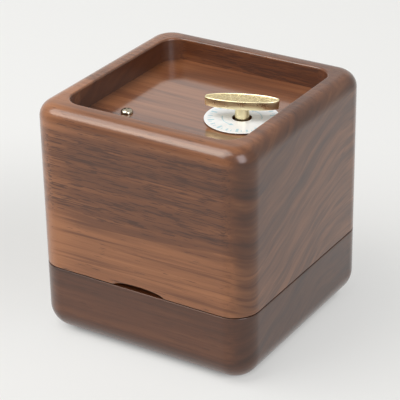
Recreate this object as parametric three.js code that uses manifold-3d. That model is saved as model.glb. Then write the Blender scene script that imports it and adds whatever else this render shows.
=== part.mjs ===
// A ballerina music box of solid walnut, standing upside down on its lid, so that the winding key is on top.
// Millimetres, +Z up. The origin is the centre of the lid's face. The front, with the thumb notch, is at -Y.
import * as THREE from 'three';
import { mergeVertices } from 'three/addons/utils/BufferGeometryUtils.js';
import Module from 'manifold-3d';

const wasm = await Module();
wasm.setup();

// Clearances
const fitGap = 0.3; // round a shaft, a pin or a screw in its hole
const seatGap = 0.1; // between two flat faces that rest on each other
const overrun = 1; // how far a cut passes the face that it opens

// Box
const boxWidth = 90; // width and depth
const boxHeight = 92.6; // lid face to rim
const cornerRadius = 10; // upright corners
const rimRadius = 5.8; // outer edge of the rim
const lidEdgeRadius = 9.6; // edge round the lid's face
const seamHeight = 28; // middle of the gap between lid and case
const seamGap = 0.3;
const stageWall = 7; // walls of the lid and of the case round the stage
const movementWall = 9; // walls of the case round the movement
const stageCornerRadius = 4;
const movementCornerRadius = 12; // leaves a land in each corner for a deck screw
const lidPanel = 7; // thickness of the lid's face
const caseFloor = 5; // board between the key recess and the movement
const movementRoom = 22.7; // from that board to the ledge that the deck lies against

// Key recess
const recessWall = 8.85; // from the side of the box to the recess
const recessCornerRadius = 7.6;
const recessDepth = 8.8;

// Thumb notch in the lower front edge of the case
const notchWidth = 20.6;
const notchHeight = 1.8;
const notchDepth = 3.5;

// Mirror in the lid
const mirrorGap = 0.5; // round the mirror
const mirrorThickness = 2;

// Hinges
const hingeWidth = 14;
const hingeSpacing = 48; // between the middles of the two hinges
const hingeOverhang = 0.8; // pin axis behind the back of the box
const knuckleRadius = 1.4;
const middleKnuckle = 4.6; // length of the knuckle on the case's leaf
const hingePinRadius = 0.5;
const leafDepth = 5;
const leafThickness = 0.9;

// Hinge screws
const hingeScrewHeadRadius = 1.1;
const hingeScrewHeadDepth = 0.5;
const hingeScrewRadius = 0.5;
const hingeScrewLength = 4.4;
const hingeScrewSpacing = 8.4;

// Deck over the stage
const deckThickness = 3;
const deckScrewInset = 10.2; // from the side of the box
const deckScrewRadius = 0.9;
const deckScrewHeadRadius = 1.7;
const deckScrewHeadHeight = 0.9;
const deckScrewGrip = 5; // length in the land above the deck

// Winding key
const keyRoomShare = 0.2219; // share of the movement's spare width that lies on the key's side
const keyY = -1.1;
const keyTurn = 20.8; // degrees from the width of the box
const keyLength = 27;
const keyWidth = 8;
const keyThickness = 3.2;
const keyRise = 8.3; // top of the key over the recess floor
const keyEase = 0.3; // broken edges of the bar
const keyShankRadius = 2.5;
const keyShankDip = 1; // how far the shank reaches below the recess floor
const keySocket = 5; // depth of the threaded hole in the shank
const keyHoleRadius = 3.65;
const discRadius = 13.9;
const discThickness = 0.4;

// Bedplate and its screws
const bedplateEndMargin = 1.55; // beyond the governor's bracket
const bedplateFrontMargin = 1.2; // before the comb
const bedplateBackMargin = 5.6; // behind the worm
const bedplateWallGap = 1; // to the wall on the key's side
const bedplateThickness = 2.4;
const bedplateCornerRadius = 3;
const bedScrewRadius = 1.2;
const bedScrewHeadRadius = 2.3;
const bedScrewHeadHeight = 1.5;
const leftBedScrewInset = 4.6; // screws from the edges of the bedplate
const rightBedScrewInset = 3.5;
const frontBedScrewInset = 3.9;
const backBedScrewInset = 4;

// Spring housing and mainspring
const housingRadius = 11;
const housingHeight = 10.4;
const housingWall = 0.7;
const mainspringThickness = 0.35;
const mainspringWidth = 8;
const windingArborRadius = 1.6;
const windingArborTail = 0.8; // end of the arbor beyond its last wheel

// Wheels driven by the spring
const wheelModule = 0.5; // great wheel, turntable wheels and governor wheel
const fineModule = 0.4; // cylinder wheel and governor pinion
const crownFace = 1.4; // radial length of the crown teeth
const crownMargin = 0.3; // plate beyond the teeth
const crownPlate = 1.2;
const turntableWheelFace = 1.6;
const pinionFace = 1.4;
const wheelFace = 1.2;

// Pin cylinder
const axisDrop = 6.7; // cylinder axis below the face of the bedplate
const drumRadius = 5.8;
const drumLength = 18.7;
const drumEndGap = 0.4; // between the drum and each bearing
const pinHeight = 0.45;
const pinWidth = 0.28;
const cylinderArborRadius = 0.8;
const bearingThickness = 1.2;
const bearingMargin = 2.6; // material round an arbor's hole

// Comb
const combPitch = 1;
const combToothWidth = 0.7;
const combTipGap = 0.15; // clear of the passing pins
const combShortTooth = 5.5;
const combLongTooth = 8;
const combBackDepth = 4.6;
const combThickness = 0.9;
const combScrewRadius = 0.8;
const combScrewHeadRadius = 1.5;
const combScrewHeadHeight = 0.8;
const combScrewGrip = 4;
const combScrewSpacing = 12;

// Governor
const governorArborRadius = 0.5;
const governorPinionFace = 1.7;
const governorWheelOffset = 3.3; // between the middles of governor wheel and cylinder wheel
const bracketThickness = 1;
const bracketWidth = 2.8;
const bracketTopDrop = 17.4; // bedplate face to the bracket's top arm
const wormRadius = 1.5;
const wormLength = 5.2;
const wormShaftRadius = 0.8;
const wormPivotRadius = 0.5;
const flyRadius = 3.8;
const flyHeight = 4;
const flyThickness = 0.5;
const flyHubRadius = 1.7;
const flyEndDrop = 15.7; // bedplate face to the fly's far end

// Stop rod that brakes the fly while the box is shut
const stopRodInset = 3.5; // from the side of the box
const stopRodRadius = 1.4;
const stopTravel = 2;
const stopArmWidth = 2;
const stopArmThickness = 1.2;
const stopArmLap = 1; // length of the arm's tip over the fly's blade
const stopSpringLength = 9.2;
const stopSpringRadius = 1.1;
const stopSpringWire = 0.36;

// Turntable
const spindleRadius = 1.2;
const spindleHead = 0.5; // end of the spindle beyond its wheel
const spindleSocket = 1.4; // depth of the hole in the turntable
const bushRadius = 2.6;
const bushFlangeRadius = 4.4;
const bushFlangeHeight = 0.8;
const turntableRadius = 10;
const turntableThickness = 2;
const turntableDrop = 0.6; // gap between deck and turntable

// Ballerina
const handsGap = 4.9; // from her raised hands to the mirror
const tutuRadius = 10.6;
const tutuThickness = 1.1;
const tutuRuffle = 0.8; // height of the folds at the hem

// Counts
const crownTeeth = 48;
const cylinderPinionTeeth = 24;
const cylinderWheelTeeth = 30;
const governorPinionTeeth = 10;
const governorWheelTeeth = 16;
const turntableDriveTeeth = 48;
const turntableTeeth = 24;
const notes = 18;
const melodyPins = 54;
const mainspringTurns = 5;
const stopSpringTurns = 7;
const melodyStride = 5; // notes from one pin to the next round the drum
const tutuFolds = 12;
const sidesPerFold = 4;
const roundSides = 32;
const smallSides = 8;
const limbSides = 6;
const wireSides = 5;
const cornerSteps = 5;

// Sizes worked out from the box
const recessWidth = boxWidth - 2 * recessWall;
const mirrorWidth = boxWidth - 2 * stageWall - 2 * mirrorGap;
const mirrorTop = lidPanel + seatGap + mirrorThickness;
const stopRodX = stopRodInset - boxWidth / 2;
const lidHeight = seamHeight - seamGap / 2;
const caseBottom = seamHeight + seamGap / 2;
const recessFloor = boxHeight - recessDepth;
const floorUnderside = recessFloor - caseFloor;
const ledgeHeight = floorUnderside - movementRoom;
const deckTop = ledgeHeight - seatGap;
const deckFace = deckTop - deckThickness;
const bedplateFace = floorUnderside - seatGap - bedplateThickness;
const turntableTop = deckFace - turntableDrop;
const turntableFace = turntableTop - turntableThickness;

// Gear train worked out from the tooth counts
const crownRadius = wheelModule * crownTeeth / 2;
const cylinderPinionRadius = wheelModule * cylinderPinionTeeth / 2;
const cylinderWheelRadius = fineModule * cylinderWheelTeeth / 2;
const governorPinionRadius = fineModule * governorPinionTeeth / 2;
const governorWheelRadius = wheelModule * governorWheelTeeth / 2;
const turntableDriveRadius = wheelModule * turntableDriveTeeth / 2;
const turntableWheelRadius = wheelModule * turntableTeeth / 2;
const axisHeight = bedplateFace - axisDrop;
const crownPlane = axisHeight - cylinderPinionRadius;
const governorY = keyY + cylinderWheelRadius + governorPinionRadius;
const flyY = governorY + governorWheelRadius + wormRadius;

// Reach of each piece of the movement from the key's axis, and the spare width that places the key
const rightBearingReach = crownRadius + pinionFace / 2 + fitGap + cylinderArborRadius + bearingThickness / 2;
const drumReach = rightBearingReach + bearingThickness / 2 + drumEndGap;
const leftBearingReach = drumReach + drumLength + drumEndGap + bearingThickness / 2;
const cylinderWheelReach = leftBearingReach + bearingThickness + governorPinionFace / 2;
const governorWheelReach = cylinderWheelReach + governorWheelOffset;
const spareWidth = boxWidth - recessWall - movementWall - discRadius - governorWheelReach;
const keyX = boxWidth / 2 - recessWall - discRadius - keyRoomShare * spareWidth;
const cylinderPinionX = keyX - crownRadius;
const rightBearingX = keyX - rightBearingReach;
const drumRight = keyX - drumReach;
const drumLeft = drumRight - drumLength;
const leftBearingX = keyX - leftBearingReach;
const cylinderWheelX = keyX - cylinderWheelReach;
const governorWheelX = keyX - governorWheelReach;
const bracketX = governorWheelX - wheelFace / 2 - bracketThickness - fitGap;
const combTipY = keyY - drumRadius - pinHeight - combTipGap;
const combBackY = combTipY - combLongTooth - combBackDepth;
const bedplateLeft = bracketX - bedplateEndMargin;
const bedplateRight = boxWidth / 2 - movementWall - bedplateWallGap;
const bedplateFront = combBackY - bedplateFrontMargin;
const bedplateBack = flyY + bedplateBackMargin;
const turntableX = keyX - turntableDriveRadius - turntableWheelRadius;

// Shapes of teeth, as shares of the module or of the pitch
const addendumShare = 0.8;
const dedendumShare = 1.2;
const rootWidthShare = 0.5;
const tipWidthShare = 0.2;

const crownRoot = crownPlane - wheelModule * dedendumShare;
const crownBack = crownRoot - crownPlate;
const turntableWheelTop = crownBack - fitGap;
const turntableWheelFoot = turntableWheelTop - turntableWheelFace;
const flyFoot = bedplateFace - flyEndDrop;
const hingeY = boxWidth / 2 + hingeOverhang;
const leafEdge = hingeY - knuckleRadius - fitGap;
const hingeScrewY = leafEdge - leafDepth / 2;
const deckScrewPlace = boxWidth / 2 - deckScrewInset;

const walnut = finish(0x75492f, 0.45, 0);
const darkWalnut = finish(0x593523, 0.45, 0);
const brass = finish(0xc9a14a, 0.28, 1);
const polishedBrass = finish(0xd9b45c, 0.2, 1);
const steel = finish(0xb9bcc0, 0.25, 1);
const darkSteel = finish(0x6f7278, 0.35, 1);
const glass = finish(0xdfe6ea, 0.05, 1);
const label = finish(0xf4f5f5, 0.4, 0);
const nylon = finish(0xe9e4d6, 0.5, 0);
const satinPink = finish(0xe9a9b4, 0.5, 0);
const netPink = finish(0xf6dfe4, 0.8, 0);

function finish(color, roughness, metalness) {
  return new THREE.MeshStandardMaterial({ color, roughness, metalness });
}

function piece(name, geometry, material, place = [0, 0, 0]) {
  const mesh = new THREE.Mesh(geometry, material);
  mesh.name = name;
  mesh.position.set(...place);
  return mesh;
}

// Joining and cutting closed solids
function solidOf(geometry) {
  const plain = geometry.clone();
  plain.deleteAttribute('normal');
  plain.deleteAttribute('uv');
  const merged = mergeVertices(plain);
  return new wasm.Manifold(new wasm.Mesh({
    numProp: 3,
    vertProperties: new Float32Array(merged.attributes.position.array),
    triVerts: new Uint32Array(merged.index.array),
  }));
}

function geometryOf(solid) {
  const mesh = solid.getMesh();
  const geometry = new THREE.BufferGeometry();
  geometry.setAttribute('position', new THREE.BufferAttribute(mesh.vertProperties, 3));
  geometry.setIndex(new THREE.BufferAttribute(mesh.triVerts, 1));
  return geometry;
}

function join(...geometries) {
  return geometryOf(geometries.map(solidOf).reduce((whole, next) => whole.add(next)));
}

function cut(geometry, ...tools) {
  return geometryOf(tools.map(solidOf).reduce((whole, tool) => whole.subtract(tool), solidOf(geometry)));
}

// Plain solids
function block(low, high) {
  const size = high.map((value, axis) => value - low[axis]);
  const middle = high.map((value, axis) => (value + low[axis]) / 2);
  return new THREE.BoxGeometry(...size).translate(...middle);
}

function turned(profile, sides = roundSides) {
  const points = profile.map(([radius, height]) => new THREE.Vector2(radius, height));
  return new THREE.LatheGeometry(points, sides).rotateX(Math.PI / 2);
}

function drum(radius, low, high, sides = roundSides) {
  return turned([[0, low], [radius, low], [radius, high], [0, high]], sides);
}

function sleeve(inner, outer, low, high, sides = roundSides) {
  return turned([[inner, low], [outer, low], [outer, high], [inner, high], [inner, low]], sides);
}

function prism(outline, low, high) {
  const settings = { depth: high - low, bevelEnabled: false, curveSegments: cornerSteps };
  return new THREE.ExtrudeGeometry(outline, settings).translate(0, 0, low);
}

// Turns a solid's own Z axis to X, its X to Y and its Y to Z
function alongX(geometry) {
  const turn = new THREE.Matrix4().makeBasis(
    new THREE.Vector3(0, 1, 0),
    new THREE.Vector3(0, 0, 1),
    new THREE.Vector3(1, 0, 0),
  );
  return geometry.applyMatrix4(turn);
}

function roundedSquare(width, depth, radius) {
  const x = width / 2 - radius;
  const y = depth / 2 - radius;
  const outline = new THREE.Shape();
  outline.absarc(x, y, radius, 0, Math.PI / 2);
  outline.absarc(-x, y, radius, Math.PI / 2, Math.PI);
  outline.absarc(-x, -y, radius, Math.PI, Math.PI * 3 / 2);
  outline.absarc(x, -y, radius, Math.PI * 3 / 2, Math.PI * 2);
  outline.closePath();
  return outline;
}

// A square block with upright round corners and one rounding along all its other edges
function softBlock(edgeRadius, low, high) {
  const inner = boxWidth - 2 * edgeRadius;
  const settings = {
    depth: high - low - 2 * edgeRadius,
    bevelSize: edgeRadius,
    bevelThickness: edgeRadius,
    bevelSegments: cornerSteps,
    curveSegments: cornerSteps,
  };
  const outline = roundedSquare(inner, inner, cornerRadius - edgeRadius);
  return new THREE.ExtrudeGeometry(outline, settings).translate(0, 0, low + edgeRadius);
}

// Lid, case and mirror
function fourCorners(x, y = x) {
  return [[x, y], [-x, y], [-x, -y], [x, -y]];
}

function hingeCentres() {
  return [-hingeSpacing / 2, hingeSpacing / 2];
}

function hingeScrewPlaces() {
  return hingeCentres().flatMap((x) => [
    [x - hingeScrewSpacing / 2, hingeScrewY],
    [x + hingeScrewSpacing / 2, hingeScrewY],
  ]);
}

// Round groove for the knuckles, pocket for one leaf and pilot holes for its screws
function hingeCuts(face, into) {
  const pocket = [face - into * overrun, face + into * (leafThickness + seatGap)];
  const tools = hingeCentres().map((x) => {
    const groove = drum(
      knuckleRadius + fitGap, -hingeWidth / 2 - fitGap, hingeWidth / 2 + fitGap, smallSides * 2,
    );
    return alongX(groove).translate(x, hingeY, seamHeight);
  });
  for (const x of hingeCentres()) {
    tools.push(block(
      [x - hingeWidth / 2 - fitGap, leafEdge - leafDepth - fitGap, Math.min(...pocket)],
      [x + hingeWidth / 2 + fitGap, boxWidth / 2 + overrun, Math.max(...pocket)],
    ));
  }
  const pilot = [face, face + into * (hingeScrewLength + fitGap)];
  for (const [x, y] of hingeScrewPlaces()) {
    const hole = drum(hingeScrewRadius + fitGap, Math.min(...pilot), Math.max(...pilot), smallSides);
    tools.push(hole.translate(x, y, 0));
  }
  return tools;
}

function lidShell() {
  const cavitySide = boxWidth - 2 * stageWall;
  const body = softBlock(lidEdgeRadius, 0, lidHeight + 2 * lidEdgeRadius);
  return cut(
    body,
    block([-boxWidth, -boxWidth, lidHeight], [boxWidth, boxWidth, lidHeight + 2 * lidEdgeRadius + overrun]),
    prism(roundedSquare(cavitySide, cavitySide, stageCornerRadius), lidPanel, lidHeight + overrun),
    ...hingeCuts(lidHeight, -1),
  );
}

function thumbNotch() {
  const bow = (notchWidth ** 2 / 4 + notchHeight ** 2) / (2 * notchHeight);
  const swing = Math.asin(notchWidth / 2 / bow);
  const outline = new THREE.Shape();
  outline.moveTo(notchWidth / 2, -overrun);
  outline.absarc(0, notchHeight - bow, bow, Math.PI / 2 - swing, Math.PI / 2 + swing);
  outline.lineTo(-notchWidth / 2, -overrun);
  outline.closePath();
  const scoop = prism(outline, -notchDepth, overrun).rotateX(Math.PI / 2);
  return scoop.translate(0, -boxWidth / 2, caseBottom);
}

function caseShell() {
  const stageSide = boxWidth - 2 * stageWall;
  const movementSide = boxWidth - 2 * movementWall;
  const movementPlan = roundedSquare(movementSide, movementSide, movementCornerRadius);
  const body = softBlock(rimRadius, caseBottom - 2 * rimRadius, boxHeight);
  const slotLow = flyFoot - fitGap - stopArmThickness - stopTravel - fitGap;
  const springTop = flyFoot + stopSpringLength + fitGap;
  const stopHole = drum(stopRodRadius + fitGap, caseBottom - overrun, springTop, smallSides);
  return cut(
    body,
    block([-boxWidth, -boxWidth, caseBottom - 2 * rimRadius - overrun], [boxWidth, boxWidth, caseBottom]),
    prism(roundedSquare(recessWidth, recessWidth, recessCornerRadius), recessFloor, boxHeight + overrun),
    prism(roundedSquare(stageSide, stageSide, stageCornerRadius), caseBottom - overrun, ledgeHeight),
    prism(movementPlan, ledgeHeight - overrun, floorUnderside),
    drum(keyHoleRadius, floorUnderside - overrun, recessFloor + overrun).translate(keyX, keyY, 0),
    ...bedScrewPlaces().map(([x, y]) => drum(
      bedScrewRadius + fitGap, floorUnderside - overrun, recessFloor + overrun, smallSides,
    ).translate(x, y, 0)),
    ...fourCorners(deckScrewPlace).map(([x, y]) => drum(
      deckScrewRadius + fitGap, ledgeHeight - overrun, deckTop + deckScrewGrip + fitGap, smallSides,
    ).translate(x, y, 0)),
    ...hingeCuts(caseBottom, 1),
    thumbNotch(),
    stopHole.translate(stopRodX, flyY, 0),
    block(
      [stopRodX, flyY - stopArmWidth / 2 - fitGap, slotLow],
      [movementWall - boxWidth / 2 + overrun, flyY + stopArmWidth / 2 + fitGap, flyFoot + fitGap],
    ),
  );
}

const headTopShare = 0.6;

// Fasteners: a head of its own shape over a plain shank, made point down at the origin
function screw(headRadius, headHeight, shankRadius, shankLength) {
  return turned([
    [0, -shankLength],
    [shankRadius, -shankLength],
    [shankRadius, 0],
    [headRadius, 0],
    [headRadius, headHeight / 2],
    [headRadius * headTopShare, headHeight],
    [0, headHeight],
  ], smallSides);
}

function countersunkScrew(headRadius, headDepth, shankRadius, length) {
  return turned([
    [0, -length],
    [shankRadius, -length],
    [shankRadius, -headDepth],
    [headRadius, 0],
    [0, 0],
  ], smallSides);
}

function bedScrewPlaces() {
  return [
    [bedplateLeft + leftBedScrewInset, bedplateFront + frontBedScrewInset],
    [bedplateRight - rightBedScrewInset, bedplateFront + frontBedScrewInset],
    [bedplateRight - rightBedScrewInset, bedplateBack - backBedScrewInset],
  ];
}

function addFasteners(name, shape, material, places, height) {
  places.forEach(([x, y], index) => {
    musicBox.add(piece(`${name}_${index + 1}`, shape, material, [x, y, height]));
  });
}

// One hinge leaf with its knuckles. "into" is 1 for the leaf in the case and -1 for the leaf in the lid
function hingeLeaf(into) {
  const near = seamHeight + into * (seamGap / 2);
  const far = near + into * leafThickness;
  const ends = into > 0
    ? [[-middleKnuckle / 2, middleKnuckle / 2]]
    : [[-hingeWidth / 2, -middleKnuckle / 2 - fitGap], [middleKnuckle / 2 + fitGap, hingeWidth / 2]];
  const low = Math.min(near, far);
  const high = Math.max(near, far);
  const parts = [block([-hingeWidth / 2, leafEdge - leafDepth, low], [hingeWidth / 2, leafEdge, high])];
  for (const [left, right] of ends) {
    parts.push(block([left, leafEdge - leafThickness, low], [right, hingeY, high]));
    parts.push(alongX(drum(knuckleRadius, left, right, smallSides * 2)).translate(0, hingeY, seamHeight));
  }
  const bore = drum(hingePinRadius + fitGap, -hingeWidth, hingeWidth, smallSides);
  const sinks = [-hingeScrewSpacing / 2, hingeScrewSpacing / 2].map((x) => {
    const sink = countersunkScrew(
      hingeScrewHeadRadius + fitGap, hingeScrewHeadDepth, hingeScrewRadius + fitGap, leafThickness + overrun,
    );
    return (into > 0 ? sink.rotateX(Math.PI) : sink).translate(x, hingeScrewY, near);
  });
  return cut(join(...parts), alongX(bore).translate(0, hingeY, seamHeight), ...sinks);
}

function hingePin() {
  return alongX(drum(hingePinRadius, -hingeWidth / 2, hingeWidth / 2, smallSides));
}

// Toothed wheels, made round the Z axis with a tooth or a gap on +X
function toothOutline(teeth, module, bore, startsWithGap) {
  const radius = module * teeth / 2;
  const pitch = Math.PI * 2 / teeth;
  const rings = [
    [radius - module * dedendumShare, rootWidthShare / 2],
    [radius + module * addendumShare, tipWidthShare / 2],
  ];
  const points = [];
  for (let tooth = 0; tooth < teeth; tooth += 1) {
    const middle = (tooth + (startsWithGap ? 1 / 2 : 0)) * pitch;
    const flank = rings.map(([reach, share]) => polar(reach, middle - share * pitch));
    const mirrored = rings.map(([reach, share]) => polar(reach, middle + share * pitch)).reverse();
    points.push(...flank, ...mirrored);
  }
  const outline = new THREE.Shape(points);
  const hole = new THREE.Path();
  hole.absarc(0, 0, bore, 0, Math.PI * 2);
  outline.holes.push(hole);
  return outline;
}

function polar(radius, angle) {
  return new THREE.Vector2(radius * Math.cos(angle), radius * Math.sin(angle));
}

function toothedWheel(teeth, module, shaftRadius, low, high, startsWithGap = false) {
  return prism(toothOutline(teeth, module, shaftRadius + fitGap, startsWithGap), low, high);
}

// Crown teeth stand up from a flat plate and have a gap on -X
function greatWheel() {
  const pitch = Math.PI * 2 * crownRadius / crownTeeth;
  const foot = -wheelModule * dedendumShare;
  const tip = wheelModule * addendumShare;
  const sunkWidth = rootWidthShare + (rootWidthShare - tipWidthShare) / 2;
  const outline = new THREE.Shape([
    new THREE.Vector2(-pitch * sunkWidth / 2, foot - (tip - foot) / 2),
    new THREE.Vector2(pitch * sunkWidth / 2, foot - (tip - foot) / 2),
    new THREE.Vector2(pitch * tipWidthShare / 2, tip),
    new THREE.Vector2(-pitch * tipWidthShare / 2, tip),
  ]);
  const tooth = alongX(prism(outline, crownRadius - crownFace / 2, crownRadius + crownFace / 2));
  const teeth = [];
  for (let count = 0; count < crownTeeth; count += 1) {
    teeth.push(tooth.clone().rotateZ((count + 1 / 2) * Math.PI * 2 / crownTeeth));
  }
  const rim = crownRadius + crownFace / 2 + crownMargin;
  const plate = sleeve(windingArborRadius + fitGap, rim, foot - crownPlate, foot, crownTeeth);
  return join(plate, ...teeth);
}

// Winding key and its printed disc
function keyPlan() {
  const bluntShare = 1.03;
  const end = Math.acos(1 / bluntShare);
  const reachX = (keyLength / 2 - keyEase) * bluntShare;
  const reachY = keyWidth / 2 - keyEase;
  const outline = new THREE.Shape();
  outline.absellipse(0, 0, reachX, reachY, end, Math.PI - end);
  outline.absellipse(0, 0, reachX, reachY, Math.PI + end, Math.PI * 2 - end);
  outline.closePath();
  return outline;
}

function windingKey() {
  const top = recessFloor + keyRise;
  const underside = top - keyThickness;
  const settings = {
    depth: keyThickness - 2 * keyEase,
    bevelSize: keyEase,
    bevelThickness: keyEase,
    bevelSegments: 1,
    curveSegments: smallSides,
  };
  const bar = new THREE.ExtrudeGeometry(keyPlan(), settings);
  bar.rotateZ(THREE.MathUtils.degToRad(keyTurn)).translate(0, 0, underside + keyEase);
  const foot = recessFloor - keyShankDip;
  const shank = drum(keyShankRadius, foot, top - keyThickness / 2);
  const socket = drum(windingArborRadius + fitGap, foot - overrun, foot + keySocket, smallSides * 2);
  return cut(join(bar, shank), socket);
}

function springHousing() {
  const top = bedplateFace - seatGap;
  const foot = top - housingHeight;
  const inner = windingArborRadius + fitGap;
  return turned([
    [inner, foot],
    [housingRadius, foot],
    [housingRadius, top],
    [inner, top],
    [inner, top - housingWall],
    [housingRadius - housingWall, top - housingWall],
    [housingRadius - housingWall, foot + housingWall],
    [inner, foot + housingWall],
    [inner, foot],
  ]);
}

function mainspring() {
  const start = windingArborRadius + 2 * fitGap;
  const room = housingRadius - housingWall - fitGap - mainspringThickness - start;
  const steps = mainspringTurns * roundSides / 2;
  const inside = [];
  const outside = [];
  for (let step = 0; step <= steps; step += 1) {
    const angle = step / steps * mainspringTurns * Math.PI * 2;
    const radius = start + room * step / steps;
    inside.push(polar(radius, angle));
    outside.push(polar(radius + mainspringThickness, angle));
  }
  const outline = new THREE.Shape([...outside, ...inside.reverse()]);
  return prism(outline, -mainspringWidth / 2, mainspringWidth / 2);
}

function windingArbor() {
  const top = recessFloor - keyShankDip + keySocket - fitGap;
  return drum(windingArborRadius, turntableWheelFoot - windingArborTail, top, smallSides * 2);
}

function bedplate() {
  const width = bedplateRight - bedplateLeft;
  const depth = bedplateBack - bedplateFront;
  const outline = roundedSquare(width, depth, bedplateCornerRadius);
  const plate = prism(outline, bedplateFace, bedplateFace + bedplateThickness);
  plate.translate((bedplateLeft + bedplateRight) / 2, (bedplateFront + bedplateBack) / 2, 0);
  const top = bedplateFace + bedplateThickness + overrun;
  return cut(
    plate,
    drum(windingArborRadius + fitGap, bedplateFace - overrun, top, smallSides * 2).translate(keyX, keyY, 0),
    ...bedScrewPlaces().map(([x, y]) => drum(
      bedScrewRadius + fitGap, bedplateFace - overrun, top, smallSides,
    ).translate(x, y, 0)),
  );
}

// Pin cylinder: the pins climb and fall along the drum as they go round it
function pinDrum() {
  const barrel = drum(drumRadius, -drumLength / 2, drumLength / 2);
  const pins = [];
  for (let count = 0; count < melodyPins; count += 1) {
    const swing = Math.abs((count * melodyStride) % (2 * notes - 2) - (notes - 1));
    const height = (swing - (notes - 1) / 2) * combPitch;
    const pin = block(
      [drumRadius - pinHeight, -pinWidth / 2, height - pinWidth / 2],
      [drumRadius + pinHeight, pinWidth / 2, height + pinWidth / 2],
    );
    pins.push(pin.rotateZ(count / melodyPins * Math.PI * 2));
  }
  const bore = drum(cylinderArborRadius + fitGap, -drumLength, drumLength, smallSides);
  return alongX(cut(join(barrel, ...pins), bore));
}

function arborAlongX(radius, left, right) {
  return alongX(drum(radius, left, right, smallSides));
}

// Upright plate across the X axis with one or two arbor holes
function bearing(holes) {
  const front = Math.min(...holes.map(([y]) => y)) - bearingMargin;
  const back = Math.max(...holes.map(([y]) => y)) + bearingMargin;
  const plate = block(
    [-bearingThickness / 2, front, axisHeight - bearingMargin],
    [bearingThickness / 2, back, bedplateFace - seatGap],
  );
  const bores = holes.map(([y, radius]) => {
    const bore = drum(radius + fitGap, -bearingThickness, bearingThickness, smallSides);
    return alongX(bore).translate(0, y, axisHeight);
  });
  return cut(plate, ...bores);
}

// Comb: the teeth shorten from the bass end on the left to the treble end on the right
const combWidth = (notes + 1) * combPitch;
const combX = (drumLeft + drumRight) / 2;
const combTop = axisHeight + combThickness / 2;

function comb() {
  const points = [];
  for (let tooth = 0; tooth < notes; tooth += 1) {
    const middle = (tooth - (notes - 1) / 2) * combPitch;
    const root = combTipY - combLongTooth + (combLongTooth - combShortTooth) * tooth / (notes - 1);
    points.push(new THREE.Vector2(middle - combToothWidth / 2, root));
    points.push(new THREE.Vector2(middle - combToothWidth / 2, combTipY));
    points.push(new THREE.Vector2(middle + combToothWidth / 2, combTipY));
    points.push(new THREE.Vector2(middle + combToothWidth / 2, root));
  }
  points.push(new THREE.Vector2(combWidth / 2, combTipY - combShortTooth));
  points.push(new THREE.Vector2(combWidth / 2, combBackY));
  points.push(new THREE.Vector2(-combWidth / 2, combBackY));
  points.push(new THREE.Vector2(-combWidth / 2, combTipY - combLongTooth));
  const plate = prism(new THREE.Shape(points), combTop - combThickness, combTop);
  return cut(plate, ...combScrewHoles()).translate(combX, 0, 0);
}

function combScrewPlaces() {
  const y = combBackY + combBackDepth / 2;
  return [[-combScrewSpacing / 2, y], [combScrewSpacing / 2, y]];
}

function combScrewHoles() {
  const low = combTop - combThickness - overrun;
  const high = combTop + combScrewGrip + fitGap;
  const hole = drum(combScrewRadius + fitGap, low, high, smallSides);
  return combScrewPlaces().map(([x, y]) => hole.clone().translate(x, y, 0));
}

function combSeat() {
  const seat = block(
    [-combWidth / 2, combBackY, combTop + seatGap],
    [combWidth / 2, combBackY + combBackDepth, bedplateFace - seatGap],
  );
  return cut(seat, ...combScrewHoles()).translate(combX, 0, 0);
}

// Worm: a right-hand thread round a stepped shaft
function worm() {
  const lead = Math.PI * wheelModule;
  const turns = wormLength / lead;
  const steps = Math.round(turns * smallSides);
  const root = wormRadius - wheelModule * dedendumShare;
  const section = [
    [root - wheelModule * addendumShare / 2, -lead * rootWidthShare / 2],
    [wormRadius + wheelModule * addendumShare, -lead * tipWidthShare / 2],
    [wormRadius + wheelModule * addendumShare, lead * tipWidthShare / 2],
    [root - wheelModule * addendumShare / 2, lead * rootWidthShare / 2],
  ];
  const positions = [];
  for (let step = 0; step <= steps; step += 1) {
    const angle = (step - steps / 2) / smallSides * Math.PI * 2;
    for (const [radius, rise] of section) {
      const point = polar(radius, angle + wormPhase);
      positions.push(point.x, point.y, angle / (Math.PI * 2) * lead + rise);
    }
  }
  const thread = sweptSkin(positions, section.length, steps);
  const top = bedplateFace - axisHeight - fitGap;
  const foot = bedplateFace - bracketTopDrop - bracketThickness + fitGap - axisHeight;
  const shoulder = flyFoot - axisHeight - fitGap;
  const shaft = turned([
    [0, foot],
    [wormPivotRadius, foot],
    [wormPivotRadius, shoulder],
    [wormShaftRadius, shoulder],
    [wormShaftRadius, -wormLength / 2 - lead],
    [root, -wormLength / 2 - lead],
    [root, wormLength / 2 + lead / 2],
    [wormShaftRadius, wormLength / 2 + lead / 2],
    [wormShaftRadius, top - wormShaftRadius],
    [wormPivotRadius, top],
    [0, top],
  ], smallSides);
  return join(shaft, thread);
}

// Closed skin over rings of equal length that follow each other
function sweptSkin(positions, around, steps) {
  const faces = [];
  for (let step = 0; step < steps; step += 1) {
    for (let side = 0; side < around; side += 1) {
      const next = (side + 1) % around;
      const here = step * around;
      const there = here + around;
      faces.push(here + side, there + side, there + next);
      faces.push(here + side, there + next, here + next);
    }
  }
  for (let side = 1; side < around - 1; side += 1) {
    faces.push(0, side, side + 1);
    faces.push(steps * around, steps * around + side + 1, steps * around + side);
  }
  const skin = new THREE.BufferGeometry();
  skin.setAttribute('position', new THREE.Float32BufferAttribute(positions, 3));
  skin.setIndex(faces);
  return skin;
}

function fly() {
  const blade = block([-flyRadius, -flyThickness / 2, 0], [flyRadius, flyThickness / 2, flyHeight]);
  const hub = drum(flyHubRadius, 0, flyHeight, smallSides);
  return cut(join(blade, hub), drum(wormShaftRadius + fitGap, -overrun, flyHeight + overrun, smallSides));
}

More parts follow.
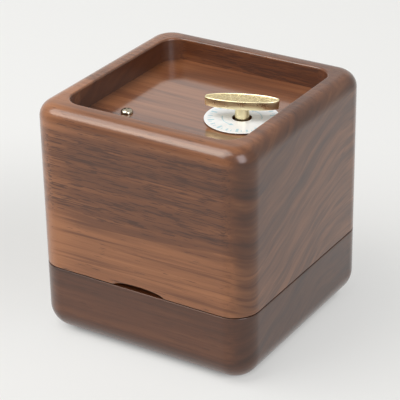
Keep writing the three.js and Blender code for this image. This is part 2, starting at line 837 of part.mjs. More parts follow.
function governorBracket() {
  const top = bedplateFace - seatGap;
  const armTop = bedplateFace - bracketTopDrop;
  const left = bracketX;
  const front = governorY - bracketWidth / 2;
  const back = governorY + bracketWidth / 2;
  const upright = block([left, front, armTop - bracketThickness], [left + bracketThickness, back, top]);
  const foot = block([left, front, top - bracketThickness], [governorWheelX + bracketWidth / 2, back, top]);
  const arm = block(
    [left, front, armTop - bracketThickness],
    [governorWheelX + bracketWidth / 2, flyY + bracketWidth / 2, armTop],
  );
  const arborHole = alongX(drum(governorArborRadius + fitGap, -bracketWidth, bracketWidth, smallSides));
  const pivotHole = drum(
    wormPivotRadius + fitGap, armTop - bracketThickness - overrun, armTop + overrun, smallSides,
  );
  return cut(
    join(upright, foot, arm),
    arborHole.translate(left, governorY, axisHeight),
    pivotHole.translate(governorWheelX, flyY, 0),
  );
}

// Stop rod and its spring
const stopArmTop = flyFoot - fitGap;

function stopRod() {
  const rod = drum(stopRodRadius, caseBottom, stopArmTop, smallSides).translate(stopRodX, flyY, 0);
  const arm = block(
    [stopRodX, flyY - stopArmWidth / 2, stopArmTop - stopArmThickness],
    [governorWheelX - flyRadius + stopArmLap, flyY + stopArmWidth / 2, stopArmTop],
  );
  return join(rod, arm);
}

function stopSpring() {
  const steps = stopSpringTurns * smallSides;
  const climb = stopSpringLength - stopSpringWire;
  const positions = [];
  for (let step = 0; step <= steps; step += 1) {
    const angle = step / smallSides * Math.PI * 2;
    const height = stopSpringWire / 2 + climb * step / steps;
    for (let side = 0; side < wireSides; side += 1) {
      const round = side / wireSides * Math.PI * 2;
      const point = polar(stopSpringRadius + stopSpringWire / 2 * Math.cos(round), angle);
      positions.push(point.x, point.y, height + stopSpringWire / 2 * Math.sin(round));
    }
  }
  return sweptSkin(positions, wireSides, steps);
}

// Deck, bush, spindle and turntable
function deckBoard() {
  const side = boxWidth - 2 * stageWall - 2 * fitGap;
  return cut(
    prism(roundedSquare(side, side, stageCornerRadius), deckFace, deckTop),
    drum(bushRadius + fitGap, deckFace - overrun, deckTop + overrun).translate(turntableX, keyY, 0),
    ...fourCorners(deckScrewPlace).map(([x, y]) => drum(
      deckScrewRadius + fitGap, deckFace - overrun, deckTop + overrun, smallSides,
    ).translate(x, y, 0)),
  );
}

function spindleBush() {
  const bore = spindleRadius + fitGap;
  const flangeFoot = deckTop + seatGap;
  const neckRadius = (bore + bushRadius) / 2 + fitGap;
  const neckTop = turntableWheelFoot - fitGap;
  return turned([
    [bore, deckFace],
    [bushRadius, deckFace],
    [bushRadius, flangeFoot],
    [bushFlangeRadius, flangeFoot],
    [bushFlangeRadius, flangeFoot + bushFlangeHeight],
    [neckRadius, flangeFoot + bushFlangeHeight],
    [neckRadius, neckTop],
    [bore, neckTop],
    [bore, deckFace],
  ], smallSides * 2);
}

function turntableSpindle() {
  const foot = turntableTop - spindleSocket + fitGap;
  return drum(spindleRadius, foot, turntableWheelTop + spindleHead, smallSides * 2);
}

function turntable() {
  const ease = turntableThickness / 3;
  const disc = turned([
    [0, turntableFace],
    [turntableRadius - ease, turntableFace],
    [turntableRadius, turntableFace + ease],
    [turntableRadius, turntableTop],
    [0, turntableTop],
  ]);
  const socket = drum(
    spindleRadius + fitGap, turntableTop - spindleSocket, turntableTop + overrun, smallSides * 2,
  );
  return cut(disc, socket);
}

// Ballerina, made standing up on her toe and then turned over. Places and radii are shares of her height
const poseShares = {
  toe: [0, 0, 0.004],
  ankle: [0, 0, 0.085],
  calf: [0, 0.008, 0.21],
  knee: [0, -0.004, 0.3],
  thigh: [0.004, 0, 0.42],
  hip: [0.02, 0, 0.53],
  farHip: [-0.03, 0, 0.53],
  pelvis: [0, 0, 0.48],
  liftedKnee: [-0.13, -0.13, 0.43],
  liftedAnkle: [-0.055, -0.06, 0.335],
  liftedToe: [-0.03, -0.03, 0.28],
  waist: [0, 0, 0.63],
  chest: [0, -0.006, 0.73],
  shoulders: [0, 0, 0.785],
  neck: [0, 0, 0.83],
  head: [0, -0.004, 0.905],
  bun: [0, 0.03, 0.968],
};

const girthShares = {
  toe: 0.013,
  ankle: 0.019,
  calf: 0.033,
  knee: 0.027,
  thigh: 0.042,
  hip: 0.05,
  pelvis: 0.065,
  waist: 0.048,
  chest: 0.06,
  shoulders: 0.036,
  neck: 0.024,
  head: 0.062,
  bun: 0.03,
};

const handReachShare = 1.1;
const headStretchShare = 1.2;

const armShares = {
  shoulder: [0.075, 0, 0.79],
  elbow: [0.17, -0.02, 0.93],
  wrist: [0.1, -0.035, 1.06],
  hand: [0.035, -0.04, handReachShare],
  upperGirth: 0.021,
  lowerGirth: 0.016,
  handGirth: 0.011,
};

const figureStand = turntableFace - seatGap;
const figureHeight = (figureStand - mirrorTop - handsGap) / handReachShare;

function bodyPoint(share) {
  return new THREE.Vector3(...share).multiplyScalar(figureHeight);
}

function limb(from, to, fromShare, toShare) {
  const start = bodyPoint(from);
  const end = bodyPoint(to);
  const run = end.clone().sub(start);
  const cone = new THREE.CylinderGeometry(
    toShare * figureHeight, fromShare * figureHeight, run.length(), limbSides,
  );
  const turn = new THREE.Quaternion().setFromUnitVectors(new THREE.Vector3(0, 1, 0), run.clone().normalize());
  return cone.applyQuaternion(turn).translate(...start.add(end).divideScalar(2));
}

function ball(share, girth, stretch = 1) {
  const radius = girth * figureHeight;
  const sphere = new THREE.SphereGeometry(radius, limbSides + 1, limbSides - 1);
  return sphere.rotateX(Math.PI / 2).scale(1, 1, stretch).translate(...bodyPoint(share));
}

function ballerinaFigure() {
  const pose = poseShares;
  const girth = girthShares;
  const chains = [
    ['toe', 'ankle', 'calf', 'knee', 'thigh', 'hip'],
    ['waist', 'chest', 'shoulders', 'neck'],
  ];
  const parts = [];
  for (const chain of chains) {
    for (let index = 1; index < chain.length; index += 1) {
      const [lower, upper] = [chain[index - 1], chain[index]];
      parts.push(limb(pose[lower], pose[upper], girth[lower], girth[upper]));
    }
  }
  parts.push(limb(pose.pelvis, pose.waist, girth.pelvis, girth.waist));
  parts.push(limb(pose.farHip, pose.liftedKnee, girth.thigh, girth.knee));
  parts.push(ball(pose.liftedKnee, girth.knee));
  parts.push(limb(pose.liftedKnee, pose.liftedAnkle, girth.knee, girth.ankle));
  parts.push(limb(pose.liftedAnkle, pose.liftedToe, girth.ankle, girth.toe));
  parts.push(limb(pose.neck, pose.head, girth.neck, girth.neck));
  parts.push(ball(pose.head, girth.head, headStretchShare));
  parts.push(ball(pose.bun, girth.bun));
  for (const side of [-1, 1]) {
    const mirror = ([x, y, z]) => [side * x, y, z];
    const arm = armShares;
    parts.push(limb(pose.shoulders, mirror(arm.shoulder), girth.shoulders, arm.upperGirth));
    parts.push(limb(mirror(arm.shoulder), mirror(arm.elbow), arm.upperGirth, arm.lowerGirth));
    parts.push(ball(mirror(arm.elbow), arm.lowerGirth));
    parts.push(limb(mirror(arm.elbow), mirror(arm.wrist), arm.lowerGirth, arm.handGirth));
    parts.push(limb(mirror(arm.wrist), mirror(arm.hand), arm.handGirth, arm.handGirth / 2));
  }
  return join(...parts).rotateX(Math.PI);
}

const tutuHeightShare = 0.585;
const tutuWaistShare = 0.066;

// Net skirt: a thin ring whose folds deepen towards the hem
function ballerinaTutu() {
  const waist = tutuWaistShare * figureHeight + fitGap;
  const sides = tutuFolds * sidesPerFold;
  const skirt = sleeve(waist, tutuRadius, -tutuThickness / 2, tutuThickness / 2, sides);
  const places = skirt.attributes.position;
  for (let index = 0; index < places.count; index += 1) {
    const x = places.getX(index);
    const y = places.getY(index);
    const share = (Math.hypot(x, y) - waist) / (tutuRadius - waist);
    const fold = Math.sin(Math.atan2(y, x) * tutuFolds);
    places.setZ(index, places.getZ(index) + share * tutuRuffle * fold);
  }
  return skirt;
}

// Where the worm's thread is centred on a gap of the governor wheel
const wormPhase = Math.PI / 2;

const musicBox = new THREE.Group();

function addLid() {
  musicBox.add(piece('lid_shell', lidShell(), darkWalnut));
  const mirrorOutline = roundedSquare(mirrorWidth, mirrorWidth, stageCornerRadius);
  musicBox.add(piece('lid_mirror', prism(mirrorOutline, mirrorTop - mirrorThickness, mirrorTop), glass));
}

function addHinges() {
  const sunk = countersunkScrew(
    hingeScrewHeadRadius, hingeScrewHeadDepth, hingeScrewRadius, hingeScrewLength,
  );
  for (const [side, x] of [['left', -hingeSpacing / 2], ['right', hingeSpacing / 2]]) {
    musicBox.add(piece(`hinge_lid_leaf_${side}`, hingeLeaf(-1), polishedBrass, [x, 0, 0]));
    musicBox.add(piece(`hinge_case_leaf_${side}`, hingeLeaf(1), polishedBrass, [x, 0, 0]));
    musicBox.add(piece(`hinge_pin_${side}`, hingePin(), steel, [x, hingeY, seamHeight]));
  }
  addFasteners('hinge_lid_screw', sunk, polishedBrass, hingeScrewPlaces(), lidHeight);
  const turnedOver = sunk.clone().rotateX(Math.PI);
  addFasteners('hinge_case_screw', turnedOver, polishedBrass, hingeScrewPlaces(), caseBottom);
}

function addCase() {
  musicBox.add(piece('case_shell', caseShell(), walnut));
  musicBox.add(piece('deck_board', deckBoard(), darkWalnut));
  const deckScrew = screw(
    deckScrewHeadRadius, deckScrewHeadHeight, deckScrewRadius, deckThickness + deckScrewGrip,
  ).rotateX(Math.PI);
  addFasteners('deck_screw', deckScrew, brass, fourCorners(deckScrewPlace), deckFace - seatGap);
  const shank = caseFloor + bedplateThickness + seatGap;
  const bedScrew = screw(bedScrewHeadRadius, bedScrewHeadHeight, bedScrewRadius, shank);
  addFasteners('bedplate_screw', bedScrew, steel, bedScrewPlaces(), recessFloor + seatGap);
}

function addWinding() {
  const axis = [keyX, keyY, 0];
  const discFoot = recessFloor + seatGap;
  const disc = sleeve(keyHoleRadius, discRadius, discFoot, discFoot + discThickness);
  musicBox.add(piece('key_disc', disc, label, axis));
  musicBox.add(piece('winding_key', windingKey(), polishedBrass, axis));
  musicBox.add(piece('winding_arbor', windingArbor(), steel, axis));
  musicBox.add(piece('spring_housing', springHousing(), steel, axis));
  const springMiddle = bedplateFace - seatGap - housingHeight / 2;
  musicBox.add(piece('mainspring', mainspring(), darkSteel, [keyX, keyY, springMiddle]));
  musicBox.add(piece('great_wheel', greatWheel(), brass, [keyX, keyY, crownPlane]));
  const driveWheel = toothedWheel(
    turntableDriveTeeth, wheelModule, windingArborRadius, turntableWheelFoot, turntableWheelTop,
  );
  musicBox.add(piece('turntable_drive_wheel', driveWheel, brass, axis));
}

function addCylinder() {
  const axis = [0, keyY, axisHeight];
  const arborLeft = cylinderWheelX - wheelFace;
  const arborRight = cylinderPinionX + pinionFace / 2 + seatGap;
  musicBox.add(piece('cylinder_drum', pinDrum(), brass, [combX, keyY, axisHeight]));
  musicBox.add(piece('cylinder_arbor', arborAlongX(cylinderArborRadius, arborLeft, arborRight), steel, axis));
  const pinion = toothedWheel(
    cylinderPinionTeeth, wheelModule, cylinderArborRadius, -pinionFace / 2, pinionFace / 2,
  );
  musicBox.add(piece('cylinder_pinion', alongX(pinion), nylon, [cylinderPinionX, keyY, axisHeight]));
  const wheel = toothedWheel(
    cylinderWheelTeeth, fineModule, cylinderArborRadius, -wheelFace / 2, wheelFace / 2,
  );
  musicBox.add(piece('cylinder_wheel', alongX(wheel), brass, [cylinderWheelX, keyY, axisHeight]));
  const leftHoles = [[keyY, cylinderArborRadius], [governorY, governorArborRadius]];
  musicBox.add(piece('bearing_left', bearing(leftHoles), steel, [leftBearingX, 0, 0]));
  musicBox.add(piece('bearing_right', bearing([[keyY, cylinderArborRadius]]), steel, [rightBearingX, 0, 0]));
}

function addComb() {
  musicBox.add(piece('bedplate', bedplate(), steel));
  musicBox.add(piece('comb_seat', combSeat(), darkSteel));
  musicBox.add(piece('comb', comb(), steel));
  const combScrew = screw(
    combScrewHeadRadius, combScrewHeadHeight, combScrewRadius, combThickness + combScrewGrip,
  ).rotateX(Math.PI);
  const places = combScrewPlaces().map(([x, y]) => [x + combX, y]);
  addFasteners('comb_screw', combScrew, brass, places, combTop - combThickness - seatGap);
}

function addGovernor() {
  const axis = [0, governorY, axisHeight];
  const left = bracketX + fitGap;
  const right = leftBearingX + bearingThickness / 2 + fitGap;
  musicBox.add(piece('governor_arbor', arborAlongX(governorArborRadius, left, right), steel, axis));
  const pinionHalf = governorPinionFace / 2;
  const pinion = toothedWheel(
    governorPinionTeeth, fineModule, governorArborRadius, -pinionHalf, pinionHalf, true,
  );
  musicBox.add(piece('governor_pinion', alongX(pinion), brass, [cylinderWheelX, governorY, axisHeight]));
  const wheel = toothedWheel(
    governorWheelTeeth, wheelModule, governorArborRadius, -wheelFace / 2, wheelFace / 2,
  );
  musicBox.add(piece('governor_wheel', alongX(wheel), nylon, [governorWheelX, governorY, axisHeight]));
  musicBox.add(piece('governor_bracket', governorBracket(), brass));
  musicBox.add(piece('worm', worm(), steel, [governorWheelX, flyY, axisHeight]));
  musicBox.add(piece('fly', fly(), nylon, [governorWheelX, flyY, flyFoot]));
  musicBox.add(piece('stop_rod', stopRod(), brass));
  musicBox.add(piece('stop_spring', stopSpring(), darkSteel, [stopRodX, flyY, stopArmTop + fitGap]));
}

function addTurntable() {
  const axis = [turntableX, keyY, 0];
  const wheel = toothedWheel(
    turntableTeeth, wheelModule, spindleRadius, turntableWheelFoot, turntableWheelTop, true,
  );
  musicBox.add(piece('turntable_wheel', wheel, nylon, axis));
  musicBox.add(piece('spindle_bush', spindleBush(), brass, axis));
  musicBox.add(piece('turntable_spindle', turntableSpindle(), steel, axis));
  musicBox.add(piece('turntable', turntable(), polishedBrass, axis));
  musicBox.add(piece('ballerina_figure', ballerinaFigure(), satinPink, [turntableX, keyY, figureStand]));
  const tutuPlace = figureStand - tutuHeightShare * figureHeight;
  musicBox.add(piece('ballerina_tutu', ballerinaTutu(), netPink, [turntableX, keyY, tutuPlace]));
}

addLid();
addHinges();
addCase();
addWinding();
addCylinder();
addComb();
addGovernor();
addTurntable();

export default musicBox;
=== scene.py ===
# A ballerina music box of walnut that stands upside down on its lid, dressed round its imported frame.
# Metres, +Z up, and the box's front is at -Y. Sizes are written in millimetres times MM.
import math

import bmesh
import bpy
from mathutils import Matrix, Vector


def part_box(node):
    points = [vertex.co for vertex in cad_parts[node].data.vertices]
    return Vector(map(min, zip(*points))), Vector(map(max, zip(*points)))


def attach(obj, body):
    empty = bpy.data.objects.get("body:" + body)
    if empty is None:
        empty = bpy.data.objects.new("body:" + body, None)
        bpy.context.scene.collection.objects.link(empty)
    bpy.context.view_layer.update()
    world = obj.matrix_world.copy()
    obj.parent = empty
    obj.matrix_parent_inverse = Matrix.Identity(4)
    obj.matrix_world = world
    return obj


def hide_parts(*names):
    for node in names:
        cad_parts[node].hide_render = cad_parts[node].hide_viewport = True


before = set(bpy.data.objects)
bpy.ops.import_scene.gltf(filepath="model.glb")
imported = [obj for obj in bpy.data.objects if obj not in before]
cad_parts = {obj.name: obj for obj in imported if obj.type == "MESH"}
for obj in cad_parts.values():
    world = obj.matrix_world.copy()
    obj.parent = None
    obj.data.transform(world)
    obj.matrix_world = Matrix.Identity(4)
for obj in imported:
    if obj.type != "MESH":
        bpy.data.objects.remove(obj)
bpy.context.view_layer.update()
MM = 0.001

# Studio. A long lens looks down past the corner between the box's front and its right side. The box
# stands on a pale sweep of paper in the plain light of a white room. One broad soft lamp hangs high on
# the left. A small warm lamp gives the rim its shine, and a cool one gives the corner its own.
view_turn = math.radians(32.195)
view_drop = math.radians(26.878)
view_roll = math.radians(-0.998)
view_distance = 654.5 * MM
view_middle = Vector((0, 0, 45 * MM))
view_slide = (-0.864 * MM, 0.594 * MM)
lens_length = 155.97
film_width = 36
nearest_seen = 0.05
farthest_seen = 20
sight = Vector((
    math.sin(view_turn) * math.cos(view_drop),
    -math.cos(view_turn) * math.cos(view_drop),
    math.sin(view_drop),
))
level = Vector((math.cos(view_turn), math.sin(view_turn), 0))
across = level * math.cos(view_roll) + sight.cross(level) * math.sin(view_roll)
upward = sight.cross(across)
eye = view_middle + sight * view_distance + across * view_slide[0] + upward * view_slide[1]
lens = bpy.data.cameras.new("camera")
lens.lens = lens_length
lens.sensor_width = film_width
lens.clip_start = nearest_seen
lens.clip_end = farthest_seen
camera = bpy.data.objects.new("camera", lens)
camera.matrix_world = Matrix.Translation(eye) @ Matrix((across, upward, sight)).transposed().to_4x4()
bpy.context.scene.collection.objects.link(camera)
bpy.context.scene.camera = camera
bpy.context.scene.view_settings.view_transform = "Standard"


def fill(node, sockets):
    """Fills sockets with numbers, vectors, colours as red, green and blue, or outputs that feed them."""
    for name, value in dict(sockets).items():
        socket = node.inputs[name]
        if isinstance(value, bpy.types.NodeSocket):
            node.id_data.links.new(value, socket)
        elif socket.type == "RGBA":
            socket.default_value = (*value, 1)
        else:
            socket.default_value = value
    return node


def add_node(tree, kind, sockets=(), **settings):
    made = tree.nodes.new(kind)
    for name, value in settings.items():
        setattr(made, name, value)
    return fill(made, sockets)


def arithmetic(tree, operation, *values):
    return add_node(tree, "ShaderNodeMath", enumerate(values), operation=operation).outputs[0]


def in_turn(tree, operation, first, *others):
    """The operation run from left to right over all the values."""
    for other in others:
        first = arithmetic(tree, operation, first, other)
    return first


def vector(tree, operation, *values):
    outputs = add_node(tree, "ShaderNodeVectorMath", enumerate(values), operation=operation).outputs
    return outputs["Value"] if operation in ("DISTANCE", "LENGTH") else outputs["Vector"]


def axes(tree, value):
    return add_node(tree, "ShaderNodeSeparateXYZ", {0: value}).outputs


def spread(tree, value, low, high, start=0.0, end=1.0, kind="SMOOTHSTEP"):
    """A value from low to high laid over start to end, and held there beyond them."""
    return add_node(tree, "ShaderNodeMapRange", {
        "Value": value, "From Min": low, "From Max": high, "To Min": start, "To Max": end,
    }, interpolation_type=kind).outputs[0]


def texture(tree, kind, sockets, **settings):
    """The outputs of a texture that lies on its object in metres."""
    surface = add_node(tree, "ShaderNodeTexCoord").outputs["Object"]
    return add_node(tree, kind, {"Vector": surface, **sockets}, **settings).outputs


def noise(tree, scale, detail=2):
    return texture(tree, "ShaderNodeTexNoise", {"Scale": scale, "Detail": detail})[0]


def relief(tree, strength, depth, height):
    return add_node(tree, "ShaderNodeBump", {
        "Strength": strength, "Distance": depth, "Height": height,
    }).outputs[0]


def new_material(name, **sockets):
    """A material, its node tree and its Principled shader, with plain values on the named sockets."""
    material = bpy.data.materials.new(name)
    material.use_nodes = True
    shader = material.node_tree.nodes["Principled BSDF"]
    fill(shader, {socket.replace("_", " "): value for socket, value in sockets.items()})
    return material, material.node_tree, shader


def seen(tree):
    """1 for rays from the camera and for those that gloss or glass sends on, and 0 for the others."""
    rays = add_node(tree, "ShaderNodeLightPath").outputs
    return in_turn(
        tree, "MAXIMUM", rays["Is Camera Ray"], rays["Is Glossy Ray"], rays["Is Transmission Ray"],
    )


def new_object(name, points, faces):
    mesh = bpy.data.meshes.new(name)
    mesh.from_pydata(points, [], faces)
    made = bpy.data.objects.new(name, mesh)
    bpy.context.scene.collection.objects.link(made)
    return made


def quarter(steps):
    """The sine and cosine at even steps of a quarter turn."""
    angles = [step / steps * math.pi / 2 for step in range(steps + 1)]
    return [(math.sin(angle), math.cos(angle)) for angle in angles]


paper_half_width = 3
paper_reach = 1.4
paper_bend = 0.5
paper_height = 1.6
paper_steps = 24
paper_profile = [(-paper_reach, 0), (paper_reach, 0)]
for sine, cosine in quarter(paper_steps)[1:]:
    paper_profile.append((paper_reach + paper_bend * sine, paper_bend * (1 - cosine)))
paper_profile.append((paper_reach + paper_bend, paper_height))
paper_points = []
for depth, height in paper_profile:
    paper_points += [(-paper_half_width, depth, height), (paper_half_width, depth, height)]
paper_faces = [(start, start + 1, start + 3, start + 2) for start in range(0, len(paper_points) - 2, 2)]
paper = new_object("paper_sweep", paper_points, paper_faces)
paper.rotation_euler.z = view_turn
paper.data.shade_smooth()
paper_material, tree, shader = new_material(
    "paper", Base_Color=(0.80, 0.80, 0.79), Roughness=0.7, Specular_IOR_Level=0.2,
)
fill(shader, {"Normal": relief(tree, 0.05, 0.2 * MM, noise(tree, 900, 3))})
paper_place = add_node(tree, "ShaderNodeTexCoord").outputs["Object"]
world_place = add_node(tree, "ShaderNodeNewGeometry").outputs["Position"]

# For the camera, the sweep has painted light behind the box, and painted shadows left of it and under it.
paper_glow = 0.6
side_shadow_middle = (-0.085, 0.06, 0)
footprint_half = (0.030, 0.030, 0)
# Painted light: the sweep grows lighter towards the back.
painted_back_light = spread(tree, axes(tree, paper_place)["Y"], 0.04, 0.17, 1.01, 1.06)
# Painted shadow: a soft shadow of the box, on the sweep to its left.
painted_side_shadow = spread(tree, vector(tree, "DISTANCE", paper_place, side_shadow_middle), 0.0, 0.12, 0.78, 1.0)
# Painted shadow: the sweep is darker under the box and just round its foot.
outside = vector(tree, "SUBTRACT", vector(tree, "ABSOLUTE", world_place), footprint_half)
outside = vector(tree, "LENGTH", vector(tree, "MAXIMUM", outside, (0, 0, 0)))
painted_box_shadow = spread(tree, outside, 0.006, 0.013, 0.2, 1.0)
paper_white = add_node(tree, "ShaderNodeEmission", {
    "Color": (0.875, 0.88, 0.87), "Strength": in_turn(tree, "MULTIPLY", painted_back_light, painted_side_shadow, painted_box_shadow),
})
paper_mix = add_node(tree, "ShaderNodeMixShader", {
    0: arithmetic(tree, "MULTIPLY", seen(tree), paper_glow), 1: shader.outputs[0], 2: paper_white.outputs[0],
})
fill(tree.nodes["Material Output"], {"Surface": paper_mix.outputs[0]})
paper.data.materials.append(paper_material)

room = bpy.data.worlds.new("white_room")
room.use_nodes = True
room_strength = spread(room.node_tree, seen(room.node_tree), 0, 1, 0.45, 0.72, "LINEAR")
fill(room.node_tree.nodes["Background"], {"Color": (1, 0.985, 0.955), "Strength": room_strength})
bpy.context.scene.world = room

# Each lamp has its radiance in units of white, and the last column says whether only gloss shows it.
rim_spot = (30 * MM, -43 * MM, 91 * MM)
lamps = [
    ("broad_lamp", view_middle, (-0.36, -0.38, 0.85), 1.2, (1.0, 1.0), 4.1, (1, 0.985, 0.96), False),
    ("rim_lamp", rim_spot, (-0.475, -0.452, 0.755), 0.4, (0.13, 0.20), 3.3, (1, 0.83, 0.64), True),
    ("corner_lamp", view_middle, (0.752, -0.351, 0.56), 0.9, (0.42, 0.75), 4.6, (0.93, 0.93, 1), True),
]
for name, aim, direction, distance, size, radiance, colour, gloss_only in lamps:
    light = bpy.data.lights.new(name, "AREA")
    light.shape = "RECTANGLE"
    light.size, light.size_y = size
    light.energy = radiance * math.pi * size[0] * size[1]
    light.color = colour
    lamp = bpy.data.objects.new(name, light)
    towards = Vector(direction).normalized()
    lamp.location = Vector(aim) + towards * distance
    lamp.rotation_euler = towards.to_track_quat("Z", "Y").to_euler()
    lamp.visible_diffuse = not gloss_only
    bpy.context.scene.collection.objects.link(lamp)

# Case. It is turned over, so its base is on top. One block of walnut, milled out for the stage below
# and the key recess above, with rounded corners and rim, sanded and lacquered. The recess floor has
# the glossiest lacquer. A scoop for the thumb is cut in its lower front edge.
case_low, case_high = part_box("case_shell")
box_half = case_high.x
corner_radius = 10 * MM
rim_radius = 5.8 * MM
seam_ease = 0.35 * MM
arris_radius = 0.8 * MM
stage_half = box_half - 7 * MM
stage_corner = 4 * MM
movement_half = box_half - 9 * MM
movement_corner = 12 * MM
recess_half = box_half - 8.85 * MM
recess_corner = 7.6 * MM
recess_floor = case_high.z - 8.8 * MM
board_underside = recess_floor - 5 * MM
ledge_height = board_underside - 22.7 * MM
support = 0.5 * MM
scoop_reach = 10.3 * MM
scoop_rise = 1.8 * MM
scoop_depth = 3.5 * MM
scoop_lip = 1.12
scoop_slope = 0.57
scoop_row = 0.15 * MM
arc_steps = 24
side_steps = 80
seam_steps = 4
rim_steps = 14
arris_steps = 6
overrun = 1 * MM
same_level = 0.01 * MM
facing_up = 0.9


def square_ring(half, corner, height):
    """A square with round corners, anticlockwise, with the same count of points at every size."""
    reach = half - corner
    places = [(reach + corner * cosine, reach + corner * sine) for sine, cosine in quarter(arc_steps)]
    places += [(reach * (1 - 2 * step / side_steps), half) for step in range(1, side_steps)]
    points = []
    for side in range(4):
        turn = Matrix.Rotation(side * math.pi / 2, 3, "Z")
        points += [turn @ Vector((x, y, height)) for x, y in places]
    return points


def edge_rings(half, corner, height, radius, outward, upward, steps):
    """Rings round a quarter turn of an edge: from the wall at "half" to the face at "height"."""
    rings = []
    for sine, cosine in quarter(steps):
        step_in = outward * radius * (1 - cosine)
        step_down = upward * radius * (1 - sine)
        rings.append(square_ring(half - step_in, corner - step_in, height - step_down))
    return rings


def tidy_normals(piece):
    work = bmesh.new()
    work.from_mesh(piece.data)
    bmesh.ops.recalc_face_normals(work, faces=work.faces)
    work.to_mesh(piece.data)
    work.free()
    return piece


def lofted(name, rings):
    """A closed skin over rings of equal length, with a flat face on the first and the last."""
    count = len(rings[0])
    points = [point for ring in rings for point in ring]
    faces = [tuple(range(count)), tuple(range(len(points) - count, len(points)))]
    for start in range(0, len(points) - count, count):
        for index in range(count):
            after = (index + 1) % count
            faces.append((start + index, start + after, start + count + after, start + count + index))
    return tidy_normals(new_object(name, points, faces))


def turned(name, profile, sides=64):
    """A solid of revolution about Z. The profile is (radius, height) from its foot outward and up, and
    one that ends where it began makes a ring."""
    points = []
    rows = []
    closed = profile[0] == profile[-1]
    for radius, height in profile[:-1] if closed else profile:
        if radius == 0:
            rows.append([len(points)])
            points.append((0, 0, height))
            continue
        rows.append(list(range(len(points), len(points) + sides)))
        for side in range(sides):
            angle = side / sides * 2 * math.pi
            points.append((radius * math.cos(angle), radius * math.sin(angle), height))
    if closed:
        rows.append(rows[0])
    faces = []
    for low, high in zip(rows, rows[1:]):
        if len(low) == len(high) == 1:
            continue
        for side in range(sides):
            pair = (side, (side + 1) % sides)
            corners = [low[index % len(low)] for index in pair]
            corners += [high[index % len(high)] for index in reversed(pair)]
            faces.append(tuple(dict.fromkeys(corners)))
    return tidy_normals(new_object(name, points, faces))


def rod(name, radius, low, high, sides=64, ease=0):
    """A round bar along Z, with its ends eased where "ease" is given."""
    profile = [(0, low), (radius, low), (radius, high), (0, high)]
    if ease:
        profile[1:2] = [(radius - ease, low), (radius, low + ease)]
        profile[3:4] = [(radius, high - ease), (radius - ease, high)]
    return turned(name, profile, sides)


def block(name, low, high):
    corners = [(x, y, z) for z in (low[2], high[2]) for y in (low[1], high[1]) for x in (low[0], high[0])]
    faces = [(0, 2, 3, 1), (4, 5, 7, 6), (0, 1, 5, 4), (2, 6, 7, 3), (0, 4, 6, 2), (1, 3, 7, 5)]
    return new_object(name, corners, faces)


def place(piece, *steps):
    """Moves the mesh itself, so that the object stays at the origin."""
    for step in steps:
        piece.data.transform(step)
    return piece


def shift(x, y, z):
    return Matrix.Translation((x, y, z))


def along_x(piece, x, y, z):
    return place(piece, Matrix.Rotation(math.pi / 2, 4, "Y"), shift(x, y, z))


def settle(piece):
    """Applies the piece's modifiers to its mesh."""
    bpy.context.view_layer.update()
    evaluated = piece.evaluated_get(bpy.context.evaluated_depsgraph_get())
    mesh = bpy.data.meshes.new_from_object(evaluated)
    piece.modifiers.clear()
    piece.data = mesh


def boolean(piece, operation, *tools):
    """Joins or cuts the piece with closed tools, which are then gone."""
    for tool in tools:
        step = piece.modifiers.new("step", "BOOLEAN")
        step.operation = operation
        step.solver = "EXACT"
        step.object = tool
    settle(piece)
    for tool in tools:
        bpy.data.objects.remove(tool)
    return piece


def face_finishes(piece, materials, choose):
    """Gives the piece several materials, and each face the one whose number choose(face) returns."""
    for material in materials:
        piece.data.materials.append(material)
    for face in piece.data.polygons:
        face.material_index = choose(face)


def finished(piece, material, slot, body, *nodes, degrees=35):
    """Gives a piece its one material if it has none yet, smooth shading up to that angle and its body, and
    hides the nodes that it stands for. The slot is not used."""
    if material is not None:
        piece.data.materials.append(material)
    piece.data.shade_smooth()
    piece.data.set_sharp_from_angle(angle=math.radians(degrees))
    if nodes:
        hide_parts(*nodes)
    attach(piece, body)


def blend(tree, share, first, second):
    """The first colour where the share is 0, and the second where it is 1."""
    sockets = {"Factor": share, "A": first, "B": second}
    return add_node(tree, "ShaderNodeMix", sockets, data_type="RGBA").outputs[2]


def new_group(name, inputs, outputs):
    """An empty node group with those sockets, and the outputs of its input node."""
    tree = bpy.data.node_groups.new(name, "ShaderNodeTree")
    for direction, sockets in (("INPUT", inputs), ("OUTPUT", outputs)):
        for socket, kind in sockets.items():
            tree.interface.new_socket(socket, in_out=direction, socket_type=f"NodeSocket{kind}")
    return tree, add_node(tree, "NodeGroupInput").outputs


